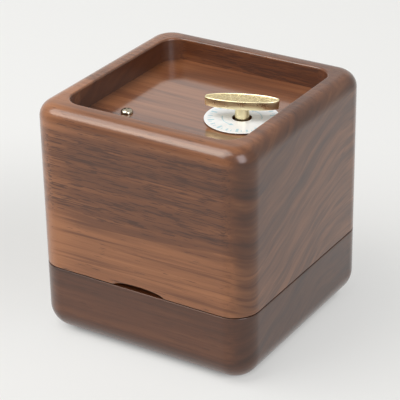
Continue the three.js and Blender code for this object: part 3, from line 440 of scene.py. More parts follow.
def walnut_group():
    """Walnut cut from one log along X. Its growth rings lie nearly level, and climb in an S from the front
    to the back, which the end faces show as soft flames. The outer wood is darker and full of pores,
    which are short dark dashes along the grain. Places in the log are in metres."""
    tree, given = new_group(
        "walnut_grain",
        {
            "Log Shift": "Vector", "Dark": "Color", "Middle": "Color", "Light": "Color",
            "Contrast": "Float", "Pore Depth": "Float",
        },
        {"Color": "Color", "Pores": "Float", "Height": "Float"},
    )
    surface = add_node(tree, "ShaderNodeTexCoord").outputs

    def stretched(place, scale, detail, rough=0.5):
        return add_node(tree, "ShaderNodeTexNoise", {
            "Vector": vector(tree, "MULTIPLY", place, scale),
            "Scale": 1, "Detail": detail, "Roughness": rough,
        }).outputs

    def centred(place, scale, detail, rough=0.5):
        """Noise that runs from about -0.3 to 0.3."""
        return arithmetic(tree, "SUBTRACT", stretched(place, scale, detail, rough)["Fac"], 0.5)

    def near(value, middle, reach, top):
        """The top value at the middle, and nothing beyond that reach from it."""
        away = arithmetic(tree, "ABSOLUTE", arithmetic(tree, "SUBTRACT", value, middle))
        return spread(tree, away, 0, reach, top, 0)

    log = vector(tree, "ADD", surface["Object"], given["Log Shift"])
    drift = vector(tree, "SUBTRACT", stretched(log, (5, 24, 24), 2)["Color"], (0.5, 0.5, 0.5))
    bent = axes(tree, vector(tree, "ADD", log, vector(tree, "MULTIPLY", drift, (0, 0.020, 0.009))))
    lean = arithmetic(tree, "MULTIPLY", bent["X"], -0.02)
    back_climb = spread(tree, bent["Y"], -0.042, 0.030, 0, 0.026)
    front_climb = spread(tree, bent["Y"], -0.048, -0.034, 0.005, 0)
    ring = arithmetic(
        tree, "SUBTRACT",
        arithmetic(tree, "ADD", bent["Z"], lean), arithmetic(tree, "ADD", back_climb, front_climb),
    )
    ring_place = add_node(tree, "ShaderNodeCombineXYZ", {0: bent["X"], 1: bent["Y"], 2: ring}).outputs[0]
    log_x = axes(tree, log)["X"]
    endways = arithmetic(tree, "ABSOLUTE", axes(tree, surface["Normal"])["X"])
    end_grain = spread(tree, endways, 0.3, 0.8)
    long_grain = arithmetic(tree, "SUBTRACT", 1, end_grain)
    outer = spread(tree, ring, 0.047, 0.056)

    outer_dark = arithmetic(tree, "MULTIPLY_ADD", outer, -0.27, 0.25)
    # Painted light: the rounding of the rim at the front is painted lighter, where light falls on it.
    painted_rim_light = spread(tree, ring, 0.0825, 0.0845, 0, 0.31)
    dark_band = near(ring, 0.053, 0.0045, -0.16)
    upper_dark = spread(tree, ring, 0.066, 0.078, 0, -0.16)
    # Painted light: the wood is painted lighter towards its left end, the side that the broad lamp lights.
    painted_left_light = spread(tree, log_x, -0.045, -0.020, 0.36, 0)
    growth_line = near(centred(ring_place, (5, 12, 210), 2), 0, 0.035, -0.24)
    inner_share = arithmetic(tree, "MULTIPLY_ADD", outer, -0.7, 1)
    broad_bands = centred(ring_place, (3, 9, 150), 2)
    narrow_bands = centred(ring_place, (5, 20, 560), 2)
    flames = centred(ring_place, (20, 38, 270), 3, 0.6)
    fibre = centred(log, (20, 560, 560), 4, 0.65)
    tone = in_turn(
        tree, "ADD", outer_dark, painted_rim_light, dark_band, upper_dark, painted_left_light,
        arithmetic(tree, "MULTIPLY", growth_line, inner_share),
        arithmetic(tree, "MULTIPLY", broad_bands, 0.75),
        in_turn(tree, "MULTIPLY", narrow_bands, long_grain, 0.5),
        in_turn(tree, "MULTIPLY", fibre, long_grain, 0.9),
        in_turn(tree, "MULTIPLY", flames, end_grain, 1.6),
    )
    tone = arithmetic(tree, "MULTIPLY_ADD", tone, given["Contrast"], 0.5)

    pore_noise = stretched(log, (150, 2700, 2700), 1)["Fac"]
    outer_pores = arithmetic(tree, "MULTIPLY_ADD", outer, 0.16, -0.19)
    pore_rows = arithmetic(tree, "MULTIPLY", centred(log, (22, 260, 260), 2), 0.13)
    rim_clear = spread(tree, ring, 0.0825, 0.0840, 0, -0.13)
    rim_row = near(ring, 0.0812, 0.0018, 0.06)
    right_clear = spread(tree, log_x, 0.035, 0.043, 0, -0.10)
    left_clear = spread(tree, log_x, -0.045, -0.020, -0.03, 0)
    density = in_turn(
        tree, "ADD", pore_noise, outer_pores, pore_rows, rim_clear, rim_row, right_clear, left_clear,
    )
    side_share = spread(tree, endways, 0.15, 0.6, 1, 0)
    pores = arithmetic(tree, "MULTIPLY", spread(tree, density, 0.50, 0.56), side_share)

    wood = blend(tree, spread(tree, tone, 0.0, 0.5, kind="LINEAR"), given["Dark"], given["Middle"])
    wood = blend(tree, spread(tree, tone, 0.5, 1.0, kind="LINEAR"), wood, given["Light"])
    wood = blend(tree, arithmetic(tree, "MULTIPLY", pores, given["Pore Depth"]), wood, given["Dark"])
    # End faces painted darker: end grain is darker, and this also paints part of the right side's shade.
    wood = blend(tree, arithmetic(tree, "MULTIPLY", end_grain, 0.38), wood, given["Dark"])
    height = arithmetic(tree, "MULTIPLY_ADD", pores, -1, arithmetic(tree, "MULTIPLY", fibre, 0.3))
    add_node(tree, "NodeGroupOutput", {"Color": wood, "Pores": pores, "Height": height})
    return tree


walnut_grain = walnut_group()


def walnut(name, log_shift, dark, middle, light, contrast, pore_depth, coat_roughness, coat_ior=1.5):
    """Lacquered walnut in three tones, cut from its own place in the log."""
    material, tree, shader = new_material(
        name, Coat_Weight=1, Coat_Roughness=coat_roughness, Coat_IOR=coat_ior, Specular_IOR_Level=0.1,
    )
    grain = add_node(tree, "ShaderNodeGroup", {
        "Log Shift": log_shift, "Dark": dark, "Middle": middle, "Light": light,
        "Contrast": contrast, "Pore Depth": pore_depth,
    }, node_tree=walnut_grain).outputs
    fill(shader, {
        "Base Color": grain["Color"],
        "Roughness": spread(tree, grain["Pores"], 0, 1, 0.42, 0.6, "LINEAR"),
        "Normal": relief(tree, 0.25, 0.06 * MM, grain["Height"]),
    })
    return material


case_walnut = walnut(
    "walnut_case", (0, 0, 0), (0.058, 0.019, 0.009), (0.175, 0.060, 0.021), (0.365, 0.144, 0.056),
    contrast=1.0, pore_depth=0.75, coat_roughness=0.2,
)
floor_walnut = walnut(
    "walnut_recess_floor", (0.06, 0.012, -0.02),
    (0.085, 0.026, 0.009), (0.193, 0.063, 0.020), (0.310, 0.118, 0.044),
    contrast=1.2, pore_depth=0.5, coat_roughness=0.115, coat_ior=2.2,
)
# Painted shade: the recess walls get a darker copy of the case's walnut, for the shade inside the recess.
shaded_wall_walnut = walnut(
    "walnut_recess_wall_painted_shade", (0, 0, 0), (0.052, 0.014, 0.005), (0.125, 0.036, 0.010), (0.215, 0.072, 0.023),
    contrast=1.0, pore_depth=0.7, coat_roughness=0.36,
)


def thumb_scoop(point):
    """Where a point of the case lies once the thumb scoop is cut, with a lip that is rounded over."""
    if point.y > -stage_half or abs(point.x) > 2 * scoop_reach:
        return point
    share = math.hypot(point.x / scoop_reach, (point.z - case_low.z) / scoop_rise)
    ramp = min(max((scoop_lip - share) / scoop_slope, 0), 1)
    return point + Vector((0, scoop_depth * ramp * ramp * (3 - 2 * ramp), 0))


lower_edge = edge_rings(box_half, corner_radius, case_low.z, seam_ease, 1, -1, seam_steps)[::-1]
for row in range(round(2 * scoop_rise / scoop_row)):
    lower_edge.append(square_ring(box_half, corner_radius, case_low.z + seam_ease + (row + 1) * scoop_row))
recess_lip = recess_half + arris_radius + support
case = lofted("walnut_case", [
    square_ring(movement_half, movement_corner, board_underside),
    square_ring(movement_half, movement_corner, ledge_height),
    square_ring(stage_half, stage_corner, ledge_height),
    square_ring(stage_half, stage_corner, case_low.z + seam_ease),
    square_ring(stage_half + seam_ease, stage_corner + seam_ease, case_low.z),
    *([thumb_scoop(point) for point in ring] for ring in lower_edge),
    square_ring(box_half, corner_radius, case_high.z - rim_radius - support),
    *edge_rings(box_half, corner_radius, case_high.z, rim_radius, 1, 1, rim_steps),
    square_ring(recess_lip, recess_corner + arris_radius + support, case_high.z),
    *edge_rings(recess_half, recess_corner, case_high.z, arris_radius, -1, 1, arris_steps)[::-1],
    square_ring(recess_half, recess_corner, recess_floor + support),
    square_ring(recess_half, recess_corner, recess_floor),
])

hinge_width = 14 * MM
hinge_gap = 0.3 * MM
knuckle_radius = 1.4 * MM
leaf_thickness = 0.9 * MM
pocket_gap = 0.1 * MM
leaf_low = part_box("hinge_case_leaf_left")[0]
hinge_axis_y = box_half + 0.8 * MM
seam_middle = (case_low.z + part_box("lid_shell")[1].z) / 2
hinge_middles = (-24 * MM, 24 * MM)


def hinge_pockets(face, into):
    """Tools that cut the pockets and the knuckle grooves of both hinges into a face of the seam."""
    tools = []
    half = hinge_width / 2 + hinge_gap
    low, high = sorted((face - into * overrun, face + into * (leaf_thickness + pocket_gap)))
    front = leaf_low.y - hinge_gap
    back = box_half + overrun
    for middle in hinge_middles:
        tools.append(block("pocket", (middle - half, front, low), (middle + half, back, high)))
        groove = rod("groove", knuckle_radius + hinge_gap, -half, half)
        tools.append(along_x(groove, middle, hinge_axis_y, seam_middle))
    return tools


key_low, key_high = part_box("winding_key")
disc_low, disc_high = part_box("key_disc")
key_x = (disc_low.x + disc_high.x) / 2
key_y = (disc_low.y + disc_high.y) / 2
key_hole = 3.65 * MM
rod_low, rod_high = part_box("stop_rod")
rod_radius = 1.4 * MM
rod_gap = 0.3 * MM
rod_bore = rod_radius + rod_gap
rod_x = rod_low.x + rod_radius
rod_y = (rod_low.y + rod_high.y) / 2
bore_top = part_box("stop_spring")[1].z + rod_gap
slot_low = rod_high.z - 4 * MM
slot_high = rod_high.z + 0.6 * MM
key_hole_tool = rod("key_hole", key_hole, board_underside - overrun, recess_floor + overrun)
bore_tool = rod("rod_bore", rod_bore, case_low.z - overrun, bore_top)
slot_tool = block(
    "arm_slot", (rod_x, rod_y - rod_bore, slot_low), (overrun - movement_half, rod_y + rod_bore, slot_high),
)
boolean(
    case, "DIFFERENCE",
    place(key_hole_tool, shift(key_x, key_y, 0)), place(bore_tool, shift(rod_x, rod_y, 0)), slot_tool,
    *hinge_pockets(case_low.z, 1),
)


def case_finish(face):
    """1 on the recess floor, 2 on the recess wall below its arris, and 0 on the rest of the case."""
    middle = face.center
    if abs(middle.z - recess_floor) < same_level and face.normal.z > facing_up:
        return 1
    beside_recess = recess_floor < middle.z < case_high.z - arris_radius
    return 2 if beside_recess and max(abs(middle.x), abs(middle.y)) <= recess_half else 0


face_finishes(case, (case_walnut, floor_walnut, shaded_wall_walnut), case_finish)
finished(case, None, "walnut_case", "case", "case_shell")

# Lid. The box stands on it. A second block of darker walnut, hollowed from its seam face, with a wide
# rounding round the face it stands on.
lid_low, lid_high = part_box("lid_shell")
lid_radius = 9.6 * MM
lid_steps = 18
lid_panel = 7 * MM
lid = lofted("walnut_lid", [
    square_ring(stage_half, stage_corner, lid_panel),
    square_ring(stage_half, stage_corner, lid_high.z - seam_ease),
    square_ring(stage_half + seam_ease, stage_corner + seam_ease, lid_high.z),
    *edge_rings(box_half, corner_radius, lid_high.z, seam_ease, 1, 1, seam_steps)[::-1],
    square_ring(box_half, corner_radius, lid_high.z - seam_ease - support),
    square_ring(box_half, corner_radius, lid_low.z + lid_radius + support),
    *edge_rings(box_half, corner_radius, lid_low.z, lid_radius, 1, -1, lid_steps),
])
boolean(lid, "DIFFERENCE", *hinge_pockets(lid_high.z, -1))
lid_walnut = walnut(
    "walnut_lid", (0.13, 0.01, 0.050),
    (0.050, 0.0155, 0.006), (0.105, 0.0335, 0.012), (0.172, 0.061, 0.023),
    contrast=1.2, pore_depth=0.35, coat_roughness=0.24,
)
finished(lid, lid_walnut, "walnut_lid", "lid", "lid_shell")

# Mirror. A plate of silvered glass with round corners and a polished edge, glued to the lid's face
# inside the lid. The figure is seen in it while the box is open.
mirror_low, mirror_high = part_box("lid_mirror")
mirror_edge = 0.6 * MM
mirror_corner = 4 * MM
mirror = lofted("glass_mirror", [
    square_ring(mirror_high.x, mirror_corner, mirror_low.z),
    square_ring(mirror_high.x, mirror_corner, mirror_high.z - mirror_edge),
    square_ring(mirror_high.x - mirror_edge, mirror_corner - mirror_edge, mirror_high.z),
])
mirror_material, tree, shader = new_material("mirror", Metallic=1, Base_Color=(0.84, 0.87, 0.86))
fill(shader, {"Roughness": spread(tree, noise(tree, 60, 3), 0.4, 0.8, 0.015, 0.05, "LINEAR")})
finished(mirror, mirror_material, "mirror", "lid", "lid_mirror")

# Hinges. Two small butt hinges of polished brass, let into the seam faces at the back. Each leaf is
# pressed from sheet, with one knuckle on the case and two on the lid round a steel pin, and is held by
# two countersunk screws.
case_knuckle = 4.6 * MM
leaf_ease = 0.15 * MM
eased_angle = math.radians(40)
pin_radius = 0.5 * MM
pin_ease = 0.12 * MM
pin_gap = 0.1 * MM
knuckle_sides = 48
pin_sides = 32
leaf_edge = hinge_axis_y - knuckle_radius - hinge_gap
hinge_screw_y = (leaf_low.y + leaf_edge) / 2
hinge_screw_radius = 1.1 * MM
hinge_screw_sink = 0.5 * MM
hinge_screw_shank = 0.5 * MM
hinge_screw_tip = 0.2 * MM
hinge_screw_point = 0.4 * MM
hinge_screw_taper = 1.2 * MM
hinge_screw_length = 4.4 * MM
hinge_screw_offset = 4.2 * MM
hinge_screw_edge = 0.04 * MM
sink_gap = 0.15 * MM
sink_depth = 2 * MM
flute_taper = (0.35, 0.6)
screw_sides = 48
over = Matrix.Rotation(math.pi, 4, "X")
as_made = Matrix()


def metal_group():
    """Wear of a handled metal: cloudy smears, fine scratches along X and a faint unevenness."""
    tree, given = new_group(
        "metal_wear",
        {"Color": "Color", "Tarnish": "Color", "Dullness": "Float"},
        {"Color": "Color", "Roughness": "Float", "Height": "Float"},
    )
    surface = add_node(tree, "ShaderNodeTexCoord").outputs["Object"]
    smears = noise(tree, 420, 3)
    scratches = texture(tree, "ShaderNodeTexNoise", {
        "Vector": vector(tree, "MULTIPLY", surface, (500, 6000, 6000)), "Scale": 1, "Detail": 2,
    })[0]
    dulled = spread(tree, smears, 0.35, 0.75, 0, 0.5, "LINEAR")
    smear_share = arithmetic(tree, "SUBTRACT", smears, 0.5)
    scratch_share = arithmetic(tree, "SUBTRACT", scratches, 0.5)
    rough = arithmetic(tree, "MULTIPLY_ADD", smear_share, 0.25, given["Dullness"])
    rough = arithmetic(tree, "MULTIPLY_ADD", scratch_share, 0.15, rough)
    add_node(tree, "NodeGroupOutput", {
        "Color": blend(tree, dulled, given["Color"], given["Tarnish"]),
        "Roughness": rough,
        "Height": arithmetic(tree, "MULTIPLY_ADD", scratches, 0.3, smears),
    })
    return tree


metal_wear = metal_group()


def metal(name, colour, tarnish, dullness):
    """A handled metal. Its dullness is its mean roughness."""
    material, tree, shader = new_material(name, Metallic=1)
    wear = add_node(tree, "ShaderNodeGroup", {
        "Color": colour, "Tarnish": tarnish, "Dullness": dullness,
    }, node_tree=metal_wear).outputs
    fill(shader, {
        "Base Color": wear["Color"], "Roughness": wear["Roughness"],
        "Normal": relief(tree, 0.3, 0.01 * MM, wear["Height"]),
    })
    return material


polished_brass = metal("polished_brass", (0.90, 0.71, 0.36), (0.70, 0.50, 0.22), 0.16)
steel = metal("steel", (0.62, 0.62, 0.62), (0.48, 0.47, 0.45), 0.24)


def add_ease(piece, width):
    """A modifier that rounds the sharp edges of a piece."""
    bevel = piece.modifiers.new("ease", "BEVEL")
    bevel.width = width
    bevel.segments = 2
    bevel.limit_method = "ANGLE"
    bevel.angle_limit = eased_angle


def spun(degrees):
    return Matrix.Rotation(math.radians(degrees), 4, "Z")


def hinge_leaf(name, middle, into):
    """One leaf with its knuckles. "into" is 1 for the leaf in the case and -1 for the leaf in the lid."""
    face = case_low.z if into > 0 else lid_high.z
    low, high = sorted((face, face + into * leaf_thickness))
    half = hinge_width / 2
    spans = [(-case_knuckle / 2, case_knuckle / 2)]
    if into < 0:
        spans = [(-half, -case_knuckle / 2 - hinge_gap), (case_knuckle / 2 + hinge_gap, half)]
    leaf = block(name, (middle - half, leaf_low.y, low), (middle + half, leaf_edge, high))
    add_ease(leaf, leaf_ease)
    settle(leaf)
    added = []
    for left, right in spans:
        added.append(block(
            "strap", (middle + left, leaf_edge - leaf_thickness, low), (middle + right, hinge_axis_y, high),
        ))
        knuckle = rod("knuckle", knuckle_radius, left, right, knuckle_sides, leaf_ease)
        added.append(along_x(knuckle, middle, hinge_axis_y, seam_middle))
    boolean(leaf, "UNION", *added)
    bore = rod("bore", pin_radius + pin_gap, -half - overrun, half + overrun, pin_sides)
    cuts = [along_x(bore, middle, hinge_axis_y, seam_middle)]
    hole = hinge_screw_shank + sink_gap
    for offset in (-hinge_screw_offset, hinge_screw_offset):
        sink = turned("sink", [
            (0, -sink_depth), (hole, -sink_depth), (hole, -hinge_screw_sink),
            (hinge_screw_radius + sink_gap, 0), (hinge_screw_radius + sink_gap, overrun), (0, overrun),
        ], pin_sides)
        turn = over if into > 0 else as_made
        cuts.append(place(sink, turn, shift(middle + offset, hinge_screw_y, face)))
    return boolean(leaf, "DIFFERENCE", *cuts)


def cross_screw(profile, length, width, depth):
    """A pattern screw with a cross recess of two tapered flutes. The profile runs from the point up to
    the head's middle, in radius and height."""
    screw = turned("pattern_screw", profile, screw_sides)
    flutes = []
    for degrees in (0, 90):
        flute = block("flute", (-length / 2, -width / 2, -depth), (length / 2, width / 2, overrun))
        for vertex in flute.data.vertices:
            if vertex.co.z < 0:
                vertex.co.x *= flute_taper[0]
                vertex.co.y *= flute_taper[1]
        flutes.append(place(flute, spun(degrees), shift(0, 0, profile[-1][1])))
    return boolean(screw, "DIFFERENCE", *flutes)


def drive(pattern, name, material, slot, body, node, *steps):
    """Puts a copy of a pattern screw in its place."""
    screw = bpy.data.objects.new(name, pattern.data.copy())
    bpy.context.scene.collection.objects.link(screw)
    finished(place(screw, *steps), material, slot, body, node)


hinge_screw = cross_screw([
    (0, -hinge_screw_length), (hinge_screw_tip, hinge_screw_point - hinge_screw_length),
    (hinge_screw_shank, hinge_screw_taper - hinge_screw_length), (hinge_screw_shank, -hinge_screw_sink),
    (hinge_screw_radius, -hinge_screw_edge), (hinge_screw_radius - hinge_screw_edge, 0), (0, 0),
], length=1.2 * MM, width=0.26 * MM, depth=0.4 * MM)
screw_count = 0
for side, middle in zip(("left", "right"), hinge_middles):
    for body, into in (("lid", -1), ("case", 1)):
        leaf = hinge_leaf(f"brass_{body}_leaf_{side}", middle, into)
        finished(leaf, polished_brass, "polished_brass", body, f"hinge_{body}_leaf_{side}")
    pin = rod(f"steel_pin_{side}", pin_radius, -hinge_width / 2, hinge_width / 2, pin_sides, pin_ease)
    along_x(pin, middle, hinge_axis_y, seam_middle)
    finished(pin, steel, "nickel_steel", "lid", f"hinge_pin_{side}")
    for offset in (-hinge_screw_offset, hinge_screw_offset):
        screw_count += 1
        for body, face, turn in (("lid", lid_high.z, as_made), ("case", case_low.z, over)):
            drive(
                hinge_screw, f"{body}_hinge_screw_{screw_count}", polished_brass, "polished_brass", body,
                f"hinge_{body}_screw_{screw_count}", turn, shift(middle + offset, hinge_screw_y, face),
            )
bpy.data.objects.remove(hinge_screw)

# Deck. A thin walnut board that closes the movement's room, with a bored middle for the bush. Four
# brass screws go up through its corners into the case.
deck_low, deck_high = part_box("deck_board")
deck_ease = 0.4 * MM
deck_steps = 3
bush_low, bush_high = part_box("spindle_bush")
turn_x = (bush_low.x + bush_high.x) / 2
turn_y = (bush_low.y + bush_high.y) / 2
bush_hole = 2.75 * MM
deck_screw_hole = 1.05 * MM
drill_length = 5 * MM
drill_sides = 32
deck_screw_place = box_half - 10.2 * MM
deck_corners = [(1, 1), (-1, 1), (-1, -1), (1, -1)]
deck_screw_turns = (17, 58, 99, 140)
deck_screw_height = 0.9 * MM

# The screw's radius and height in plain millimetres, from its point to the middle of its head.
deck_screw_profile = [
    (0, -8), (0.35, -7.6), (0.9, -6.4), (0.9, 0), (1.7, 0),
    (1.7, 0.25), (1.55, 0.52), (1.15, 0.78), (0.6, 0.88), (0, 0.9),
]
deck = lofted("walnut_deck", [
    *edge_rings(deck_high.x, stage_corner, deck_low.z, deck_ease, 1, -1, deck_steps)[::-1],
    *edge_rings(deck_high.x, stage_corner, deck_high.z, deck_ease, 1, 1, deck_steps),
])
drills = [place(rod("drill", bush_hole, -overrun, drill_length), shift(turn_x, turn_y, deck_low.z))]
for side_x, side_y in deck_corners:
    drill = rod("drill", deck_screw_hole, -overrun, drill_length, drill_sides)
    drills.append(place(drill, shift(side_x * deck_screw_place, side_y * deck_screw_place, deck_low.z)))
boolean(deck, "DIFFERENCE", *drills)
deck_walnut = walnut(
    "walnut_deck", (0.11, 0.05, 0.01),
    (0.052, 0.020, 0.010), (0.120, 0.048, 0.021), (0.200, 0.085, 0.037),
    contrast=0.9, pore_depth=0.6, coat_roughness=0.32,
)
finished(deck, deck_walnut, "walnut_deck", "case", "deck_board")
deck_screw = cross_screw(
    [(radius * MM, height * MM) for radius, height in deck_screw_profile],
    length=2 * MM, width=0.42 * MM, depth=0.6 * MM,
)
screw_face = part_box("deck_screw_1")[0].z + deck_screw_height
for number, (side_x, side_y), degrees in zip(range(1, 5), deck_corners, deck_screw_turns):
    drive(
        deck_screw, f"brass_deck_screw_{number}", polished_brass, "movement_brass", "case",
        f"deck_screw_{number}", spun(degrees), over,
        shift(side_x * deck_screw_place, side_y * deck_screw_place, screw_face),
    )
bpy.data.objects.remove(deck_screw)

# Printed disc. White card under the key, glued to the recess floor, with plain ring marks and two
# turning arrows in pale blue ink.
disc_radius = 13.9 * MM
disc_edge = 0.08 * MM
disc_sides = 128
printed_side = 0.5
ink_height = 0.02 * MM
arc_step = math.radians(4)
tick_count = 40
tick_pitch = 9
tick_start = 1.2
tick_rim = 12.6 * MM
tick_lengths = (2.4 * MM, 1.3 * MM, 1.7 * MM, 1.3 * MM)
tick_widths = (4.6, 1.6, 3.4, 1.6)
arrow_shaft = (7.05 * MM, 7.4 * MM)
arrow_head = (6.3 * MM, 8.15 * MM)
arrow_narrowing = 0.96
arrow_angles = ((198, 262, 276), (18, 82, 96))


def mottled(name, first, second, scale, detail=2, bump=None, **sockets):
    """A material whose colour drifts between two tones. "bump" is the strength and depth of its relief."""
    material, tree, shader = new_material(name, **sockets)
    cloud = noise(tree, scale, detail)
    fill(shader, {"Base Color": blend(tree, cloud, first, second)})
    if bump:
        fill(shader, {"Normal": relief(tree, *bump, cloud)})
    return material, tree, shader


def joined(name, parts):
    """All the parts in one mesh."""
    work = bmesh.new()
    for part in parts:
        work.from_mesh(part.data)
        bpy.data.objects.remove(part)
    mesh = bpy.data.meshes.new(name)
    work.to_mesh(mesh)
    work.free()
    made = bpy.data.objects.new(name, mesh)
    bpy.context.scene.collection.objects.link(made)
    return made


def arc_mark(radii, start, end, narrowing=0):
    """A thin raised mark on the disc, from one angle to another. It narrows by that share."""
    steps = max(2, round((end - start) / arc_step))
    middle = (radii[0] + radii[1]) / 2
    rings = []
    for step in range(steps + 1):
        angle = start + (end - start) * step / steps
        half = (radii[1] - radii[0]) / 2 * (1 - step / steps * narrowing)
        inner, outer = [
            (key_x + radius * math.cos(angle), key_y + radius * math.sin(angle))
            for radius in (middle - half, middle + half)
        ]
        top = disc_high.z + ink_height
        rings.append([(*inner, disc_high.z), (*outer, disc_high.z), (*outer, top), (*inner, top)])
    return lofted("mark", rings)


disc = turned("card_disc", [
    (key_hole, disc_low.z), (disc_radius - disc_edge, disc_low.z), (disc_radius, disc_low.z + disc_edge),
    (disc_radius, disc_high.z - disc_edge), (disc_radius - disc_edge, disc_high.z), (key_hole, disc_high.z),
    (key_hole, disc_low.z),
], disc_sides)
place(disc, shift(key_x, key_y, 0))
white_card, tree, shader = mottled(
    "white_card", (0.93, 0.95, 0.98), (0.90, 0.93, 0.965), 160,
    Roughness=0.42, Coat_Weight=1, Coat_Roughness=0.15, Coat_IOR=1.7,
)
fill(shader, {"Normal": relief(tree, 0.1, 0.01 * MM, noise(tree, 2400))})
# Painted shadow: the card's edge is painted dark brown, for the thin shadow along the disc's rim.
card_edge_painted_shadow = mottled("card_edge_painted_shadow", (0.10, 0.075, 0.055), (0.18, 0.14, 0.11), 1200, Roughness=0.6)[0]
face_finishes(disc, (white_card, card_edge_painted_shadow), lambda face: 0 if face.normal.z > printed_side else 1)
finished(disc, None, "printed_disc", "case", "key_disc")
marks = []
for index in range(tick_count):
    start = math.radians(tick_pitch * index + tick_start)
    tick_radii = (tick_rim - tick_lengths[index % 4], tick_rim)
    marks.append(arc_mark(tick_radii, start, start + math.radians(tick_widths[index % 4])))
for start, neck, tip in arrow_angles:
    marks.append(arc_mark(arrow_shaft, math.radians(start), math.radians(neck)))
    marks.append(arc_mark(arrow_head, math.radians(neck), math.radians(tip), arrow_narrowing))
blue_ink = mottled("blue_ink", (0.33, 0.57, 0.67), (0.55, 0.71, 0.77), 1500, Roughness=0.5)[0]
finished(joined("ink_marks", marks), blue_ink, "printed_disc", "case")

# Winding key. A brass bar, a long oval with blunt ends, on a round shank that goes down through the
# disc and turns the mainspring's arbor. The bar's top has a raised rim round a stippled field.
key_turn = 20.8
key_half = 13.5 * MM
key_half_width = 4 * MM
key_thickness = 3.2 * MM
key_ease = 0.22 * MM
key_ease_steps = 3
blunt_share = 1.03
outline_steps = 48
key_rim = 0.3 * MM
field_depth = 0.14 * MM
field_level = key_high.z - field_depth
key_underside = key_high.z - key_thickness
socket_radius = 1.9 * MM
socket_top = key_low.z + 5 * MM
shank_ease = 0.15 * MM
shank_foot = 2.7 * MM
shank_collar = 2.68 * MM
shank_neck = 2.5 * MM
shank_shoulder = key_underside - 0.5 * MM
shank_top = key_underside + key_thickness / 2


def key_outline():
    """The bar's edge as two arcs of an oval, with the ends cut square."""
    end = math.acos(1 / blunt_share)
    points = []
    for start in (end, math.pi + end):
        for step in range(outline_steps + 1):
            angle = start + step / outline_steps * (math.pi - 2 * end)
            points.append(Vector((
                key_half * blunt_share * math.cos(angle), key_half_width * math.sin(angle), 0,
            )))
    return points


def inset(outline, distance):
    """The closed outline moved inward by that distance, with its corners kept."""
    moved = []
    for index, point in enumerate(outline):
        before = (point - outline[index - 1]).normalized()
        after = (outline[(index + 1) % len(outline)] - point).normalized()
        first = Vector((-before.y, before.x, 0))
        second = Vector((-after.y, after.x, 0))
        moved.append(point + (first + second) / (1 + first.dot(second)) * distance)
    return moved


key_profile = [
    (key_ease * (1 - sine), key_underside + key_ease * (1 - cosine))
    for sine, cosine in quarter(key_ease_steps)
]
key_profile += [
    (key_ease * (1 - cosine), key_high.z - key_ease * (1 - sine))
    for sine, cosine in quarter(key_ease_steps)
]
key_profile += [(key_ease + key_rim, key_high.z), (key_ease + key_rim + field_depth, field_level)]
key = lofted("brass_key", [
    [point + Vector((0, 0, height)) for point in inset(key_outline(), distance)]
    for distance, height in key_profile
])
place(key, spun(key_turn), shift(key_x, key_y, 0))
shank = turned("shank", [
    (socket_radius, key_low.z), (shank_foot - shank_ease, key_low.z), (shank_foot, key_low.z + shank_ease),
    (shank_collar, disc_high.z), (shank_neck, shank_shoulder), (shank_neck, shank_top), (0, shank_top),
    (0, socket_top), (socket_radius, socket_top), (socket_radius, key_low.z),
])
boolean(key, "UNION", place(shank, shift(key_x, key_y, 0)))
key_brass = metal("key_brass", (0.97, 0.86, 0.55), (0.90, 0.76, 0.45), 0.3)
field_brass, tree, shader = new_material("stippled_brass", Metallic=1)
cells = texture(tree, "ShaderNodeTexVoronoi", {"Scale": 1200, "Randomness": 1})["Distance"]
stipple = spread(tree, cells, 0.2, 0.5, kind="LINEAR")
stipple_shade = arithmetic(tree, "MULTIPLY", stipple, noise(tree, 900))
fill(shader, {
    "Base Color": blend(tree, stipple_shade, (1.0, 0.86, 0.52), (0.46, 0.32, 0.13)),
    "Roughness": spread(tree, stipple_shade, 0, 1, 0.26, 0.45, "LINEAR"),
    "Normal": relief(tree, 0.7, 0.2 * MM, stipple),
})
face_finishes(
    key, (key_brass, field_brass),
    lambda face: 1 if face.normal.z > facing_up and abs(face.center.z - field_level) < same_level else 0,
)
finished(key, None, "polished_brass", "key", "winding_key")

# Bedplate screws. Three bright pan heads with a cross recess hold the movement's bedplate through the
# recess floor. Only the front left one shows over the rim.
bed_low, bed_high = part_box("bedplate_screw_1")
bed_head_height = 1.5 * MM
bed_head_foot = bed_high.z - bed_head_height
bed_screw_foot = (bed_low.z - bed_head_foot) / MM

# Radius and height in plain millimetres, as for the deck's screws.
bed_screw_profile = [
    (0, bed_screw_foot), (1.0, bed_screw_foot), (1.2, bed_screw_foot + 0.2), (1.2, 0), (2.2, 0), (2.3, 0.1),
    (2.28, 0.45), (2.1, 0.85), (1.7, 1.18), (1.1, 1.4), (0.5, 1.49), (0, 1.5),
]
bed_screw_turns = (32, 75, 8)
bright_steel = metal("bright_steel", (0.52, 0.47, 0.37), (0.34, 0.30, 0.22), 0.16)
bed_screw = cross_screw(
    [(radius * MM, height * MM) for radius, height in bed_screw_profile],
    length=2.9 * MM, width=0.62 * MM, depth=1.15 * MM,
)
for number, degrees in enumerate(bed_screw_turns, 1):
    low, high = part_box(f"bedplate_screw_{number}")
    drive(
        bed_screw, f"bright_bed_screw_{number}", bright_steel, "screw_chrome", "case",
        f"bedplate_screw_{number}", spun(degrees),
        shift((low.x + high.x) / 2, (low.y + high.y) / 2, bed_head_foot),
    )
bpy.data.objects.remove(bed_screw)

# Movement frame. A nickel-plated bedplate that hangs under the recess floor, with two punched bearings
# for the cylinder and a brass bracket for the governor riveted to it.
weld_distance = 0.001 * MM
sharp_angle = math.radians(35)
part_ease = 0.05 * MM


